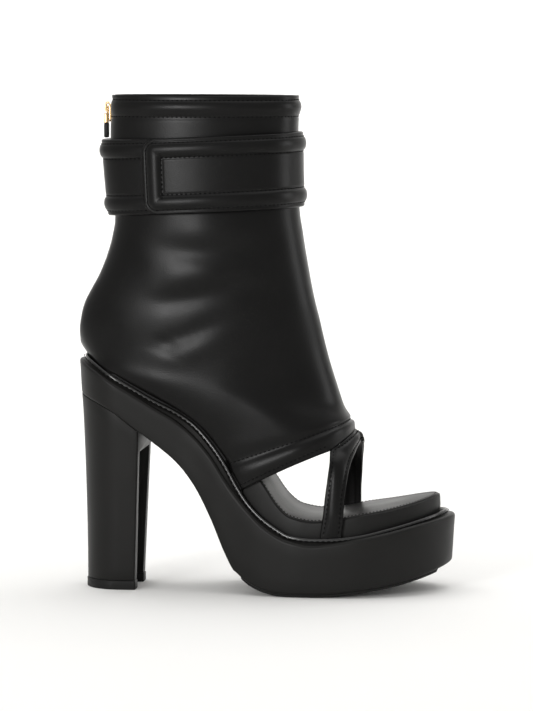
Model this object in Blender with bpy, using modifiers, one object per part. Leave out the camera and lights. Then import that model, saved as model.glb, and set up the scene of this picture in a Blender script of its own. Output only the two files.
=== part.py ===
# Right shoe: ankle boot on a covered platform with a block heel.
# Open toe, open sides over the forefoot, wide ankle strap, zip up the back.
# Metres. Heel at the back of X, toe to +X, inner side of the foot to +Y, floor at Z = 0.
import math

import bmesh
import bpy
import numpy as np
from mathutils import Vector

# Overall sizes
PLATFORM_LENGTH = 0.2172
FOREFOOT_WIDTH = 0.0880
SEAT_HEIGHT = 0.1336
SHAFT_HEIGHT = 0.1509
SHAFT_WIDTH = 0.0670
HEEL_WIDTH = 0.0562
GAP = 0.0003
COLLAR_RIM = SEAT_HEIGHT + SHAFT_HEIGHT
SLOPE_STEP = 0.0020
ROUND_MIDDLE = 0.3

# Rounded ends of the platform in plan
HEEL_END_ROUND = 0.0260
TOE_END_ROUND = 0.0560
TOE_DRIFT_START = 0.1400
TOE_DRIFT = 0.0045

# Platform edge and what stands on it
EDGE_RADIUS = 0.0023
FOOT_RADIUS = 0.0015
HEEL_DRAFT = 0.0010
TOE_DRAFT = 0.0016
FEATHER_INSET_HEEL = 0.0053
FEATHER_INSET_TOE = 0.0066
WELT_WIDTH = 0.0017
WELT_HEIGHT = 0.0018
WELT_CLEAR = 0.00045
WELT_SHOULDER = 0.62
UPPER_WALL = 0.0018
FOOTBED_ROUND = 0.0016
FOOTBED_HEEL_EASE = 0.0018
INSOLE_THICK = 0.0012
INSOLE_INSET = 0.0012

# Tread under the forefoot
TREAD_THICK = 0.0015
TREAD_INSET = 0.0010
TREAD_CORNER = 0.0080
TREAD_START = 0.0960
TREAD_END = 0.2080
RECESS_RUN = 0.0040

# Heel, its open channel and its wear piece
BREAST = 0.0376
BREAST_BOTTOM = 0.0343
HEEL_BACK_TOP = 0.0011
HEEL_BACK_BOTTOM = 0.0041
HEEL_BACK_BOW = 0.80
HEEL_BOTTOM_WIDTH = 0.0430
BREAST_CORNER = 0.0012
HEEL_SHARES = (0.00, 0.12, 0.30, 0.50, 0.75, 1.00)
LIFT_THICK = 0.0052
LIFT_PROUD = 0.0004
CHANNEL_TOP = 0.0800
CHANNEL_TOP_WIDTH = 0.0390
CHANNEL_BOTTOM_WIDTH = 0.0240
CHANNEL_DEPTH = 0.0160
CHANNEL_CORNER = 0.0030
CUTTER_PAST = 0.0060

# Shaft, collar and zip
FEATHER_RISE = 0.0024
VAMP_CLEAR = 0.0004
ROW_FULLNESS = 0.9
CROTCH_DROP = 0.0040
CROTCH_FADE = 1.6
ZIP_SLIT = 0.0068
ZIP_FACING = 0.0030
ZIP_TOP_DROP = 0.0015
ZIP_END_CLEAR = 0.0012
TAPE_WIDTH = 0.0060
TAPE_THICK = 0.0009
TAPE_SINK = 0.0011
TEETH_WIDTH = 0.0026
TEETH_THICK = 0.0008

# Forefoot strap that joins the vamp edge
STRAP_RIDGE = 0.0008
RIDGE_LEAN = 0.3

# Ankle strap
ANKLE_STRAP_THICK = 0.0024
ANKLE_STRAP_CLEAR = 0.0006
ANKLE_STRAP_BEAD = 0.0013
ANKLE_STRAP_TOP_SLACK = 0.0029
ANKLE_STRAP_LOW_SLACK = 0.0013
SLACK_START = 120.0
SLACK_END = 180.0
ANKLE_STRAP_BACK_DROP = 0.0255
ANKLE_STRAP_BACK_HEIGHT = 0.0435
ANKLE_STRAP_FRONT_DROP = 0.0209
ANKLE_STRAP_FRONT_HEIGHT = 0.0428
TAB_CORNER = 0.0080
TAB_ANGLE = 124.0
UNDER_END_ANGLE = 58.0
LAYER_RAMP_START = 14.0
LAYER_RAMP_END = 50.0
LAYER_CLEAR = 0.0006
TAB_TURN_RADIUS = 0.0495

# Zip slider and its hanging pull, measured down from the collar
SLIDER_DROP = 0.0053
SLIDER_WIDTH = 0.0066
SLIDER_THICK = 0.0018
SLIDER_LENGTH = 0.0102
BRIDGE_DROP = 0.0042
BRIDGE_LENGTH = 0.0056
BRIDGE_BAR = 0.0009
BRIDGE_HOLE = 0.0015
BRIDGE_WIDTH = 0.0016
LINK_BAR = 0.0009
LINK_WIDTH = 0.0052
LINK_LENGTH = 0.0038
FERRULE_LENGTH = 0.0057
FERRULE_WIDTH = 0.0058
FERRULE_THICK = 0.0024
PULL_LENGTH = 0.0079
PULL_WIDTH = 0.0052
PULL_THICK = 0.0024
SMALL_ROUND = 0.0004

# Grid counts
SIDE_STEPS = 14
CROTCH_STEP = 4
STRAP_TURN_STEPS = 62
ZIP_STEPS = 16
EDGE_SEGMENTS = 2

# Plan of the platform. Columns: along the length; outer and inner half width
# as shares of the forefoot width, before the two ends are rounded.
PLAN = (
    (0.000, 0.347, 0.341),
    (0.208, 0.347, 0.341),
    (0.287, 0.345, 0.335),
    (0.396, 0.392, 0.355),
    (0.505, 0.464, 0.416),
    (0.619, 0.508, 0.473),
    (0.733, 0.511, 0.494),
    (0.851, 0.503, 0.489),
    (1.000, 0.490, 0.480),
)

# Side profile. Columns: along the length; outer edge of the platform, bead of the
# welt, underside, top of the footbed, all as shares of the seat height.
PROFILE = (
    (0.000, 1.000, 1.030, 0.846, 1.108),
    (0.047, 0.963, 0.988, 0.820, 1.067),
    (0.101, 0.909, 0.933, 0.778, 1.014),
    (0.156, 0.858, 0.883, 0.711, 0.966),
    (0.212, 0.803, 0.831, 0.645, 0.917),
    (0.276, 0.741, 0.779, 0.558, 0.867),
    (0.323, 0.677, 0.726, 0.459, 0.820),
    (0.368, 0.594, 0.647, 0.319, 0.756),
    (0.405, 0.504, 0.564, 0.178, 0.692),
    (0.438, 0.431, 0.469, 0.083, 0.625),
    (0.469, 0.371, 0.396, 0.043, 0.558),
    (0.507, 0.310, 0.336, 0.016, 0.478),
    (0.547, 0.267, 0.291, 0.002, 0.384),
    (0.580, 0.245, 0.264, 0.000, 0.341),
    (0.642, 0.228, 0.253, 0.000, 0.322),
    (0.681, 0.234, 0.254, 0.003, 0.327),
    (0.759, 0.256, 0.266, 0.019, 0.349),
    (0.830, 0.278, 0.291, 0.036, 0.368),
    (0.902, 0.305, 0.319, 0.063, 0.394),
    (0.966, 0.325, 0.347, 0.095, 0.421),
    (1.000, 0.335, 0.364, 0.117, 0.434),
)
PROFILE_COLUMN = {"edge": 1, "bead": 2, "under": 3, "seat": 4}

# Stations of the sole pieces as shares of the platform length.
STATIONS = (
    0.000, 0.003, 0.012, 0.027, 0.047, 0.072, 0.100, 0.132, 0.1676, 0.1731,
    0.210, 0.260, 0.300, 0.335, 0.365, 0.390, 0.412, 0.432, 0.450, 0.470,
    0.495, 0.525, 0.555, 0.590, 0.640, 0.690, 0.740, 0.790, 0.835, 0.875,
    0.910, 0.940, 0.964, 0.982, 0.994, 1.000,
)

# Closed rows of the shaft, from the collar down. Columns: front point along the
# length and its height, back point along and its height, half width share of the
# shaft. A height is a share of the shaft above the seat, or of the seat below it.
SHAFT_ROWS = (
    (0.584, 0.998, 0.0924, 1.000, 0.484),
    (0.586, 0.983, 0.0914, 0.983, 0.496),
    (0.591, 0.955, 0.0884, 0.955, 0.513),
    (0.585, 0.919, 0.0894, 0.919, 0.499),
    (0.583, 0.864, 0.0881, 0.851, 0.499),
    (0.584, 0.706, 0.0930, 0.693, 0.501),
    (0.587, 0.566, 0.0990, 0.540, 0.504),
    (0.596, 0.476, 0.0921, 0.466, 0.507),
    (0.607, 0.365, 0.0782, 0.391, 0.507),
    (0.624, 0.244, 0.0574, 0.318, 0.507),
    (0.640, 0.146, 0.0366, 0.265, 0.504),
    (0.653, 0.059, 0.0158, 0.206, 0.501),
    (0.666, -0.001, 0.0069, 0.155, 0.499),
    (0.677, -0.057, 0.0020, 0.101, 0.496),
    (0.684, -0.101, 0.0010, 0.063, 0.496),
    (0.690, -0.129, 0.0079, 0.037, 0.498),
    (0.693, -0.144, 0.0198, 0.018, 0.500),
    (0.696, -0.159, 0.0244, 0.001, 0.503),
)
SLIT_ROWS = 14

# Open rows of the vamp, standing on the platform. Columns: front point along and
# its height, foot of the row along the platform, half width share of the shaft.
VAMP_ROWS = (
    (0.698, -0.174, 0.0300, 0.504),
    (0.700, -0.184, 0.0430, 0.509),
    (0.702, -0.195, 0.0660, 0.514),
    (0.704, -0.204, 0.1000, 0.517),
    (0.707, -0.212, 0.1676, 0.520),
    (0.709, -0.221, 0.2100, 0.522),
    (0.711, -0.227, 0.2600, 0.525),
    (0.714, -0.233, 0.3000, 0.528),
    (0.717, -0.240, 0.3350, 0.530),
    (0.720, -0.246, 0.3650, 0.531),
    (0.723, -0.255, 0.3900, 0.532),
    (0.724, -0.263, 0.4120, 0.531),
    (0.733, -0.280, 0.4320, 0.551),
    (0.735, -0.306, 0.4500, 0.534),
)

# Forefoot strap, from the crotch of the side opening down to the platform.
# Columns: along the length, up the seat height, half width share of the forefoot.
STRAP_REAR = (
    (0.683, 0.580, 0.392),
    (0.678, 0.500, 0.424),
    (0.672, 0.420, 0.437),
    (0.667, 0.340, 0.440),
)
STRAP_FRONT = (
    (0.752, 0.642, 0.000),
    (0.750, 0.635, 0.060),
    (0.746, 0.621, 0.130),
    (0.743, 0.603, 0.205),
    (0.739, 0.581, 0.280),
    (0.733, 0.540, 0.352),
    (0.728, 0.475, 0.402),
    (0.723, 0.400, 0.428),
    (0.721, 0.330, 0.438),
)
STRAP_FOOT_REAR = 0.660
STRAP_FOOT_FRONT = 0.717
STRAP_INNER_SHIFT = 0.0050

# Ankle strap rows from its lower to its upper edge. Columns: share of the strap
# height, share of the bead bulge.
ANKLE_STRAP_ROWS = (
    (0.000, 0.00),
    (0.045, 0.70),
    (0.160, 1.00),
    (0.290, 0.00),
    (0.710, 0.00),
    (0.840, 1.00),
    (0.955, 0.70),
    (1.000, 0.00),
)

BLACK_SATIN = (0.018, 0.018, 0.020, 1.0)
BLACK_LEATHER = (0.014, 0.014, 0.015, 1.0)
BLACK_RUBBER = (0.020, 0.020, 0.020, 1.0)
GREY_SATIN = (0.150, 0.145, 0.155, 1.0)
BLACK_TEXTILE = (0.012, 0.012, 0.013, 1.0)
PALE_GOLD = (0.780, 0.600, 0.320, 1.0)

# Colour, roughness and metallic of each material.
MATERIALS = {
    "upper_black_satin": (BLACK_SATIN, 0.38, 0.0),
    "ankle_strap_black_satin": (BLACK_SATIN, 0.40, 0.0),
    "platform_black_leather": (BLACK_LEATHER, 0.34, 0.0),
    "heel_black_leather": (BLACK_LEATHER, 0.34, 0.0),
    "welt_black_leather": (BLACK_LEATHER, 0.42, 0.0),
    "footbed_black_leather": (BLACK_LEATHER, 0.45, 0.0),
    "tread_black_rubber": (BLACK_RUBBER, 0.60, 0.0),
    "top_lift_black_rubber": (BLACK_RUBBER, 0.55, 0.0),
    "insole_grey_satin": (GREY_SATIN, 0.50, 0.0),
    "zip_tape_black": (BLACK_TEXTILE, 0.80, 0.0),
    "zip_teeth_black": (BLACK_TEXTILE, 0.45, 0.0),
    "slider_pale_gold": (PALE_GOLD, 0.25, 1.0),
    "link_pale_gold": (PALE_GOLD, 0.25, 1.0),
    "pull_tab_black_leather": (BLACK_LEATHER, 0.45, 0.0),
}


def clear_scene():
    for item in list(bpy.data.objects):
        bpy.data.objects.remove(item, do_unlink=True)


def make_material(name, colour, roughness, metallic):
    material = bpy.data.materials.new(name)
    material.use_nodes = True
    shader = material.node_tree.nodes["Principled BSDF"]
    shader.inputs["Base Color"].default_value = colour
    shader.inputs["Roughness"].default_value = roughness
    shader.inputs["Metallic"].default_value = metallic
    return material


# Shape-keeping interpolation of one column of a table.
def column_at(table, column, share):
    rows = np.array(table, dtype=float)
    xs = rows[:, 0]
    ys = rows[:, column]
    steps = np.diff(xs)
    slopes = np.diff(ys) / steps
    tangents = np.zeros(len(xs))
    tangents[0] = slopes[0]
    tangents[-1] = slopes[-1]
    for i in range(1, len(xs) - 1):
        if slopes[i - 1] * slopes[i] > 0:
            before = 2 * steps[i] + steps[i - 1]
            after = steps[i] + 2 * steps[i - 1]
            tangents[i] = (before + after) / (before / slopes[i - 1] + after / slopes[i])
    x = min(max(share, xs[0]), xs[-1])
    i = min(int(np.searchsorted(xs, x, side="right")) - 1, len(steps) - 1)
    t = (x - xs[i]) / steps[i]
    rise = ys[i + 1] - ys[i]
    start = tangents[i] * steps[i]
    end = tangents[i + 1] * steps[i]
    return ys[i] + t * start + t * t * (3 * rise - 2 * start - end) + t ** 3 * (start + end - 2 * rise)


def smooth_step(start, end, value):
    t = min(max((value - start) / (end - start), 0.0), 1.0)
    return t * t * (3 - 2 * t)


def profile(line, x):
    return column_at(PROFILE, PROFILE_COLUMN[line], x / PLATFORM_LENGTH) * SEAT_HEIGHT


# Height of a share of the shaft above the seat, or of the seat height below it.
def level(share):
    if share >= 0:
        return SEAT_HEIGHT + share * SHAFT_HEIGHT
    return SEAT_HEIGHT * (1 + share)


def steepness(x):
    slope = (profile("bead", x + SLOPE_STEP) - profile("bead", x - SLOPE_STEP)) / (2 * SLOPE_STEP)
    return math.sqrt(1 + slope * slope)


def deck(x):
    return profile("bead", x) - WELT_HEIGHT * steepness(x)


# Half width of the platform: side -1 is the outer side, +1 the inner side.
def plan_side(x, side):
    column = 1 if side < 0 else 2
    half = column_at(PLAN, column, x / PLATFORM_LENGTH) * FOREFOOT_WIDTH
    heel = min(x / HEEL_END_ROUND, 1.0)
    toe = min((PLATFORM_LENGTH - x) / TOE_END_ROUND, 1.0)
    round_off = math.sqrt(max(1 - (1 - heel) ** 2, 0.0)) * math.sqrt(max(1 - (1 - toe) ** 2, 0.0))
    drift = TOE_DRIFT * smooth_step(TOE_DRIFT_START, PLATFORM_LENGTH, x)
    return drift + side * half * round_off


def plan_loop():
    xs = [share * PLATFORM_LENGTH for share in STATIONS]
    outer = [(x, plan_side(x, -1)) for x in xs]
    inner = [(x, plan_side(x, 1)) for x in xs[-2:0:-1]]
    return np.array(outer + inner)


def inward_normals(loop):
    along = np.roll(loop, -1, axis=0) - np.roll(loop, 1, axis=0)
    along /= np.linalg.norm(along, axis=1)[:, None]
    return np.stack([-along[:, 1], along[:, 0]], axis=1)


PLAN_LOOP = plan_loop()
PLAN_INWARD = inward_normals(PLAN_LOOP)


def inset_loop(distance):
    distances = np.array([distance(x) if callable(distance) else distance for x in PLAN_LOOP[:, 0]])
    return PLAN_LOOP + PLAN_INWARD * distances[:, None]


def ring(distance, height):
    return [(x, y, height(x)) for x, y in inset_loop(distance)]


def feather_inset(x):
    share = smooth_step(BREAST, PLATFORM_LENGTH, x)
    return FEATHER_INSET_HEEL + (FEATHER_INSET_TOE - FEATHER_INSET_HEEL) * share


def footbed_inset(x):
    ease = FOOTBED_HEEL_EASE * (1 - smooth_step(BREAST, BREAST * 2, x))
    return feather_inset(x) + UPPER_WALL + GAP + ease


# Width of an inset plan at a place along the shoe.
def inset_side(distance, x, side):
    loop = inset_loop(distance)
    half = len(STATIONS)
    if side < 0:
        run = loop[:half]
    else:
        run = np.vstack([loop[:1], loop[:half - 2:-1]])
    return float(np.interp(x, run[:, 0], run[:, 1]))


def add_object(name, mesh_data, material, collection, root):
    mesh = bpy.data.meshes.new(name)
    mesh_data.to_mesh(mesh)
    mesh_data.free()
    item = bpy.data.objects.new(name, mesh)
    item.parent = root
    collection.objects.link(item)
    if material is not None:
        mesh.materials.append(material)
    return item


# Faces that close a ring by strips from side to side. A ring with a tip starts at it.
def cap_faces(count, has_tip):
    faces = []
    left, right = 0, count - 1
    if has_tip:
        faces.append((0, 1, count - 1))
        left = 1
    while right - left > 2:
        faces.append((left, left + 1, right - 1, right))
        left += 1
        right -= 1
    if right - left == 2:
        faces.append((left, left + 1, right))
    return faces


def solid_from_rings(rings, has_tip=True):
    data = bmesh.new()
    rows = [[data.verts.new(point) for point in row] for row in rings]
    count = len(rows[0])
    for low, high in zip(rows, rows[1:]):
        for i in range(count):
            j = (i + 1) % count
            data.faces.new((low[i], low[j], high[j], high[i]))
    for row in (rows[0], rows[-1]):
        for face in cap_faces(count, has_tip):
            data.faces.new([row[i] for i in face])
    bmesh.ops.recalc_face_normals(data, faces=data.faces)
    return data


# Tube along closed rings, such as a bead around the shoe.
def band_from_rings(rings):
    data = bmesh.new()
    rows = [[data.verts.new(point) for point in row] for row in rings]
    count = len(rows[0])
    for k, low in enumerate(rows):
        high = rows[(k + 1) % len(rows)]
        for i in range(count):
            j = (i + 1) % count
            data.faces.new((low[i], low[j], high[j], high[i]))
    bmesh.ops.recalc_face_normals(data, faces=data.faces)
    return data


def under_recess(x):
    start = smooth_step(TREAD_START - RECESS_RUN, TREAD_START, x)
    return (TREAD_THICK + GAP) * start


def platform_under(x):
    return profile("under", x) + under_recess(x)


# How far the foot of the platform's wall is set in from its top edge.
def side_draft(x):
    return HEEL_DRAFT + (TOE_DRAFT - HEEL_DRAFT) * smooth_step(BREAST, PLATFORM_LENGTH, x)


def foot_inset(x):
    return side_draft(x) + FOOT_RADIUS


def welt_outer(x):
    return feather_inset(x) - GAP - WELT_WIDTH


def welt_middle(x):
    return welt_outer(x) + WELT_WIDTH / 2


def welt_inner(x):
    return feather_inset(x) - WELT_CLEAR


def welt_low(x):
    return deck(x) + GAP * steepness(x)


def welt_high(x):
    return deck(x) + WELT_HEIGHT * WELT_SHOULDER * steepness(x)


def welt_crown(x):
    return profile("bead", x)


def build_platform(material, collection, root):
    bend = EDGE_RADIUS * ROUND_MIDDLE
    rings = [
        ring(foot_inset, platform_under),
        ring(side_draft, lambda x: platform_under(x) + FOOT_RADIUS),
        ring(0.0, lambda x: profile("edge", x) - EDGE_RADIUS * steepness(x)),
        ring(bend, lambda x: profile("edge", x) - bend * steepness(x)),
        ring(EDGE_RADIUS, lambda x: profile("edge", x)),
        ring(lambda x: welt_outer(x) - GAP, deck),
    ]
    return add_object("platform", solid_from_rings(rings), material, collection, root)


# Loop under the forefoot, kept between the two ends of the tread and set in by a margin.
def tread_ring(margin, height):
    start = TREAD_START + margin
    end = TREAD_END - margin

    def inset(x):
        return foot_inset(x) + TREAD_INSET + margin

    loop = inset_loop(inset)
    half = len(STATIONS)
    outer = [(x, y) for x, y in loop[:half] if start < x < end]
    inner = [(x, y) for x, y in loop[:half - 1:-1] if start < x < end]
    outer_y = inset_side(inset, start, -1)
    inner_y = inset_side(inset, start, 1)
    points = [(start, outer_y + TREAD_CORNER), (start + FOOT_RADIUS, outer_y + FOOT_RADIUS)]
    points.extend(outer[1:])
    points.append((end, TOE_DRIFT))
    points.extend(reversed(inner[1:]))
    points.append((start + FOOT_RADIUS, inner_y - FOOT_RADIUS))
    points.append((start, inner_y - TREAD_CORNER))
    return [(x, y, height(x)) for x, y in points]


def build_tread(material, collection, root):
    rings = [
        tread_ring(SMALL_ROUND, lambda x: profile("under", x)),
        tread_ring(0.0, lambda x: profile("under", x) + SMALL_ROUND),
        tread_ring(0.0, lambda x: profile("under", x) + TREAD_THICK),
    ]
    return add_object("tread", solid_from_rings(rings, False), material, collection, root)


def build_welt(material, collection, root):
    rings = [
        ring(welt_outer, welt_low),
        ring(welt_outer, welt_high),
        ring(welt_middle, welt_crown),
        ring(welt_inner, welt_high),
        ring(welt_inner, welt_low),
    ]
    return add_object("welt", band_from_rings(rings), material, collection, root)


def build_footbed(material, collection, root):
    def top(x):
        return profile("seat", x) - INSOLE_THICK

    bend = FOOTBED_ROUND * ROUND_MIDDLE
    rings = [
        ring(footbed_inset, lambda x: deck(x) + GAP * steepness(x)),
        ring(footbed_inset, lambda x: top(x) - FOOTBED_ROUND * steepness(x)),
        ring(lambda x: footbed_inset(x) + bend, lambda x: top(x) - bend),
        ring(lambda x: footbed_inset(x) + FOOTBED_ROUND, top),
    ]
    return add_object("footbed", solid_from_rings(rings), material, collection, root)


def build_insole(material, collection, root):
    def start(x):
        return footbed_inset(x) + INSOLE_INSET

    def top(x):
        return profile("seat", x) + GAP

    rings = [
        ring(lambda x: start(x) + FOOTBED_ROUND / 2, lambda x: top(x) - INSOLE_THICK + GAP),
        ring(start, lambda x: top(x) - INSOLE_THICK / 2),
        ring(lambda x: start(x) + FOOTBED_ROUND / 2, top),
    ]
    return add_object("insole", solid_from_rings(rings), material, collection, root)


# Outline of the heel at its top: platform plan as far as the breast.
def heel_plan():
    half = len(STATIONS)
    full = BREAST - BREAST_CORNER
    outer = [(x, y) for x, y in PLAN_LOOP[:half] if x <= full + GAP]
    side = outer[-1][1]
    bend = BREAST_CORNER * ROUND_MIDDLE
    corner = [(BREAST - bend, side + bend), (BREAST, side + BREAST_CORNER)]
    inner = [(x, -y) for x, y in outer[:0:-1]]
    far = [(x, -y) for x, y in reversed(corner)]
    return np.array(outer + corner + far + inner)


def heel_ring(share, height, proud=0.0):
    bow = math.sin(share * math.pi / 2) ** HEEL_BACK_BOW
    back = HEEL_BACK_TOP + (HEEL_BACK_BOTTOM - HEEL_BACK_TOP) * bow - proud
    breast = BREAST + (BREAST_BOTTOM - BREAST) * share + proud
    width = HEEL_WIDTH + (HEEL_BOTTOM_WIDTH - HEEL_WIDTH) * share + 2 * proud
    points = []
    for x, y in heel_plan():
        place = back + (breast - back) * x / BREAST
        points.append((place, y * width / HEEL_END_SPAN, height(place)))
    return points


HEEL_END_SPAN = 2 * abs(plan_side(BREAST - BREAST_CORNER, -1))


def heel_top(x):
    return profile("under", x) - GAP


def build_heel(material, collection, root, cutter):
    bottom = LIFT_THICK + GAP
    rings = []
    for share in HEEL_SHARES:
        rings.append(heel_ring(share, lambda x, s=share: heel_top(x) * (1 - s) + bottom * s))
    heel = add_object("heel", solid_from_rings(rings), material, collection, root)
    cut_with(heel, cutter)
    return heel


def build_top_lift(material, collection, root, cutter):
    rings = [
        heel_ring(1.0, lambda x: 0.0, LIFT_PROUD - SMALL_ROUND),
        heel_ring(1.0, lambda x: SMALL_ROUND, LIFT_PROUD),
        heel_ring(1.0, lambda x: LIFT_THICK, LIFT_PROUD),
    ]
    lift = add_object("top_lift", solid_from_rings(rings), material, collection, root)
    cut_with(lift, cutter)
    return lift


def channel_ring(height, width):
    inner = BREAST_BOTTOM - CHANNEL_DEPTH
    outer = BREAST + CUTTER_PAST
    half = width / 2
    step = CHANNEL_CORNER
    bend = step * ROUND_MIDDLE
    plan = [
        (inner, -half + step),
        (inner + bend, -half + bend),
        (inner + step, -half),
        (outer, -half),
        (outer, half),
        (inner + step, half),
        (inner + bend, half - bend),
        (inner, half - step),
    ]
    return [(x, y, height) for x, y in plan]


def build_channel_cutter(collection, root):
    rings = [
        channel_ring(-CUTTER_PAST, CHANNEL_BOTTOM_WIDTH),
        channel_ring(0.0, CHANNEL_BOTTOM_WIDTH),
        channel_ring(CHANNEL_TOP, CHANNEL_TOP_WIDTH),
    ]
    cutter = add_object("heel_channel_cutter", solid_from_rings(rings, False), None, collection, root)
    cutter.hide_render = True
    cutter.display_type = "WIRE"
    return cutter


def cut_with(item, cutter):
    cut = item.modifiers.new("channel", "BOOLEAN")
    cut.operation = "DIFFERENCE"
    cut.solver = "EXACT"
    cut.object = cutter


# One half of a row of the upper, from the front point round to its back end.
def half_row(front, back, half, end, side):
    points = []
    for k in range(SIDE_STEPS + 1):
        angle = math.pi * k / SIDE_STEPS
        along = (1 - math.cos(angle)) / 2
        sweep = math.sin(angle)
        if angle <= math.pi / 2:
            out = half * sweep ** ROW_FULLNESS
        else:
            out = end + (half - end) * sweep ** ROW_FULLNESS
        x = front[0] + (back[0] - front[0]) * along
        z = front[1] + (back[1] - front[1]) * along
        points.append((x, side * out, z))
    return points


def shaft_half(row, side, slit):
    front = (row[0] * PLATFORM_LENGTH, level(row[1]))
    back = (row[2] * PLATFORM_LENGTH, level(row[3]))
    half = row[4] * SHAFT_WIDTH
    points = half_row(front, back, half, slit + ZIP_FACING, side)
    points.append((back[0], side * slit, back[1]))
    return points


# How far the lower edge of the vamp hangs below a straight line, most at the crotch.
def crotch_drop(step):
    if step < CROTCH_STEP:
        return CROTCH_DROP * step / CROTCH_STEP
    left = max((SIDE_STEPS - step) / (SIDE_STEPS - CROTCH_STEP), 0.0)
    return CROTCH_DROP * left ** CROTCH_FADE


def vamp_half(row, side):
    foot = row[2] * PLATFORM_LENGTH
    base = deck(foot) + VAMP_CLEAR * steepness(foot)
    end = abs(inset_side(feather_inset, foot, side))
    front = (row[0] * PLATFORM_LENGTH, level(row[1]))
    back = (foot, base + FEATHER_RISE * steepness(foot))
    points = half_row(front, back, row[3] * SHAFT_WIDTH, end, side)
    if row is VAMP_ROWS[-1]:
        points = [(x, y, z - crotch_drop(step)) for step, (x, y, z) in enumerate(points)]
    points.append((foot, side * end, base))
    return points


def strap_point(row, side):
    shift = STRAP_INNER_SHIFT * (1 - row[1]) if side > 0 else 0.0
    return (row[0] * PLATFORM_LENGTH + shift, side * row[2] * FOREFOOT_WIDTH, row[1] * SEAT_HEIGHT)


def strap_foot(share, side):
    x = share * PLATFORM_LENGTH + (STRAP_INNER_SHIFT if side > 0 else 0.0)
    base = deck(x) + GAP
    y = inset_side(feather_inset, x, side)
    return [(x, y, base + FEATHER_RISE), (x, y, base)]


def build_upper(material, collection, root):
    data = bmesh.new()
    grid = []
    for index, row in enumerate(SHAFT_ROWS):
        slit = ZIP_SLIT / 2 if index < SLIT_ROWS else 0.0
        outer = [data.verts.new(p) for p in shaft_half(row, -1, slit)]
        inner = [data.verts.new(p) for p in shaft_half(row, 1, slit)[1:]]
        if slit == 0.0:
            data.verts.remove(inner[-1])
            inner[-1] = outer[-1]
        grid.append(outer[::-1] + inner)
    for row in VAMP_ROWS:
        outer = [data.verts.new(p) for p in vamp_half(row, -1)]
        inner = [data.verts.new(p) for p in vamp_half(row, 1)[1:]]
        grid.append(outer[::-1] + inner)
    for high, low in zip(grid, grid[1:]):
        for i in range(len(high) - 1):
            corners = []
            for vert in (high[i], low[i], low[i + 1], high[i + 1]):
                if vert not in corners:
                    corners.append(vert)
            if len(corners) > 2:
                data.faces.new(corners)
    add_forefoot_strap(data, grid[-1])
    mesh = add_object("upper", data, material, collection, root)
    wall = mesh.modifiers.new("wall", "SOLIDIFY")
    wall.thickness = UPPER_WALL
    wall.offset = -1.0
    wall.use_quality_normals = True
    return mesh


# The strap shares the front of the vamp edge, then runs down to the platform.
def add_forefoot_strap(data, edge):
    centre = SIDE_STEPS + 1
    rear = [edge[centre]]
    rows = {-1: [], 1: []}
    for side in (-1, 1):
        shared = [edge[centre + side * k] for k in range(1, CROTCH_STEP + 1)]
        hanging = [strap_point(row, side) for row in STRAP_REAR] + strap_foot(STRAP_FOOT_REAR, side)
        fronts = [strap_point(row, side) for row in STRAP_FRONT] + strap_foot(STRAP_FOOT_FRONT, side)
        rears = [tuple(rear[0].co)] + [tuple(v.co) for v in shared] + hanging
        ridge = []
        for k, (back, front) in enumerate(zip(rears, fronts)):
            rise = 0.0 if k == len(rears) - 1 else STRAP_RIDGE
            out = Vector((RIDGE_LEAN, side * min(k / CROTCH_STEP, 1.0), 1.0 - k / len(rears)))
            ridge.append(tuple(Vector(back).lerp(Vector(front), 0.5) + out.normalized() * rise))
        rear_verts = shared + [data.verts.new(p) for p in hanging]
        ridge_verts = [data.verts.new(p) for p in ridge[1:]]
        front_verts = [data.verts.new(p) for p in fronts[1:]]
        rows[side] = [rear_verts, ridge_verts, front_verts]
        if side < 0:
            middle = [rear[0], data.verts.new(ridge[0]), data.verts.new(fronts[0])]
    lines = [rows[-1][k][::-1] + [middle[k]] + rows[1][k] for k in range(3)]
    for high, low in zip(lines, lines[1:]):
        for i in range(len(high) - 1):
            data.faces.new((high[i], low[i], low[i + 1], high[i + 1]))


# Front, back and half width of the shaft at a height.
def shaft_at(height):
    rows = SHAFT_ROWS[::-1]
    fronts = [level(row[1]) for row in rows]
    backs = [level(row[3]) for row in rows]
    front = np.interp(height, fronts, [row[0] * PLATFORM_LENGTH for row in rows])
    back = np.interp(height, backs, [row[2] * PLATFORM_LENGTH for row in rows])
    half = np.interp(height, backs, [row[4] * SHAFT_WIDTH for row in rows])
    return front, back, half


def ankle_strap_point(turn, share, bulge):
    angle = math.radians(turn)
    side_angle = math.degrees(math.acos(math.cos(angle)))
    back_share = (1 - math.cos(angle)) / 2
    drop = ANKLE_STRAP_FRONT_DROP + (ANKLE_STRAP_BACK_DROP - ANKLE_STRAP_FRONT_DROP) * back_share
    tall = ANKLE_STRAP_FRONT_HEIGHT + (ANKLE_STRAP_BACK_HEIGHT - ANKLE_STRAP_FRONT_HEIGHT) * back_share
    height = COLLAR_RIM - drop - tall * (1 - share)
    front, back, half = shaft_at(height)
    x = front + (back - front) * back_share
    end = ZIP_SLIT / 2 + ZIP_FACING if math.cos(angle) < 0 else 0.0
    y = math.copysign(end + (half - end) * abs(math.sin(angle)) ** ROW_FULLNESS, math.sin(angle))
    normal = Vector((math.cos(angle) / (front - back) * 2, math.sin(angle) / half, 0.0)).normalized()
    slack = ANKLE_STRAP_LOW_SLACK + (ANKLE_STRAP_TOP_SLACK - ANKLE_STRAP_LOW_SLACK) * share
    slack *= smooth_step(SLACK_START, SLACK_END, side_angle)
    layer = (ANKLE_STRAP_THICK + LAYER_CLEAR) * smooth_step(LAYER_RAMP_START, LAYER_RAMP_END, turn - 360)
    out = ANKLE_STRAP_CLEAR + ANKLE_STRAP_THICK + slack + layer + ANKLE_STRAP_BEAD * bulge
    return (x + normal.x * out, -y - normal.y * out, height)


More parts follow.
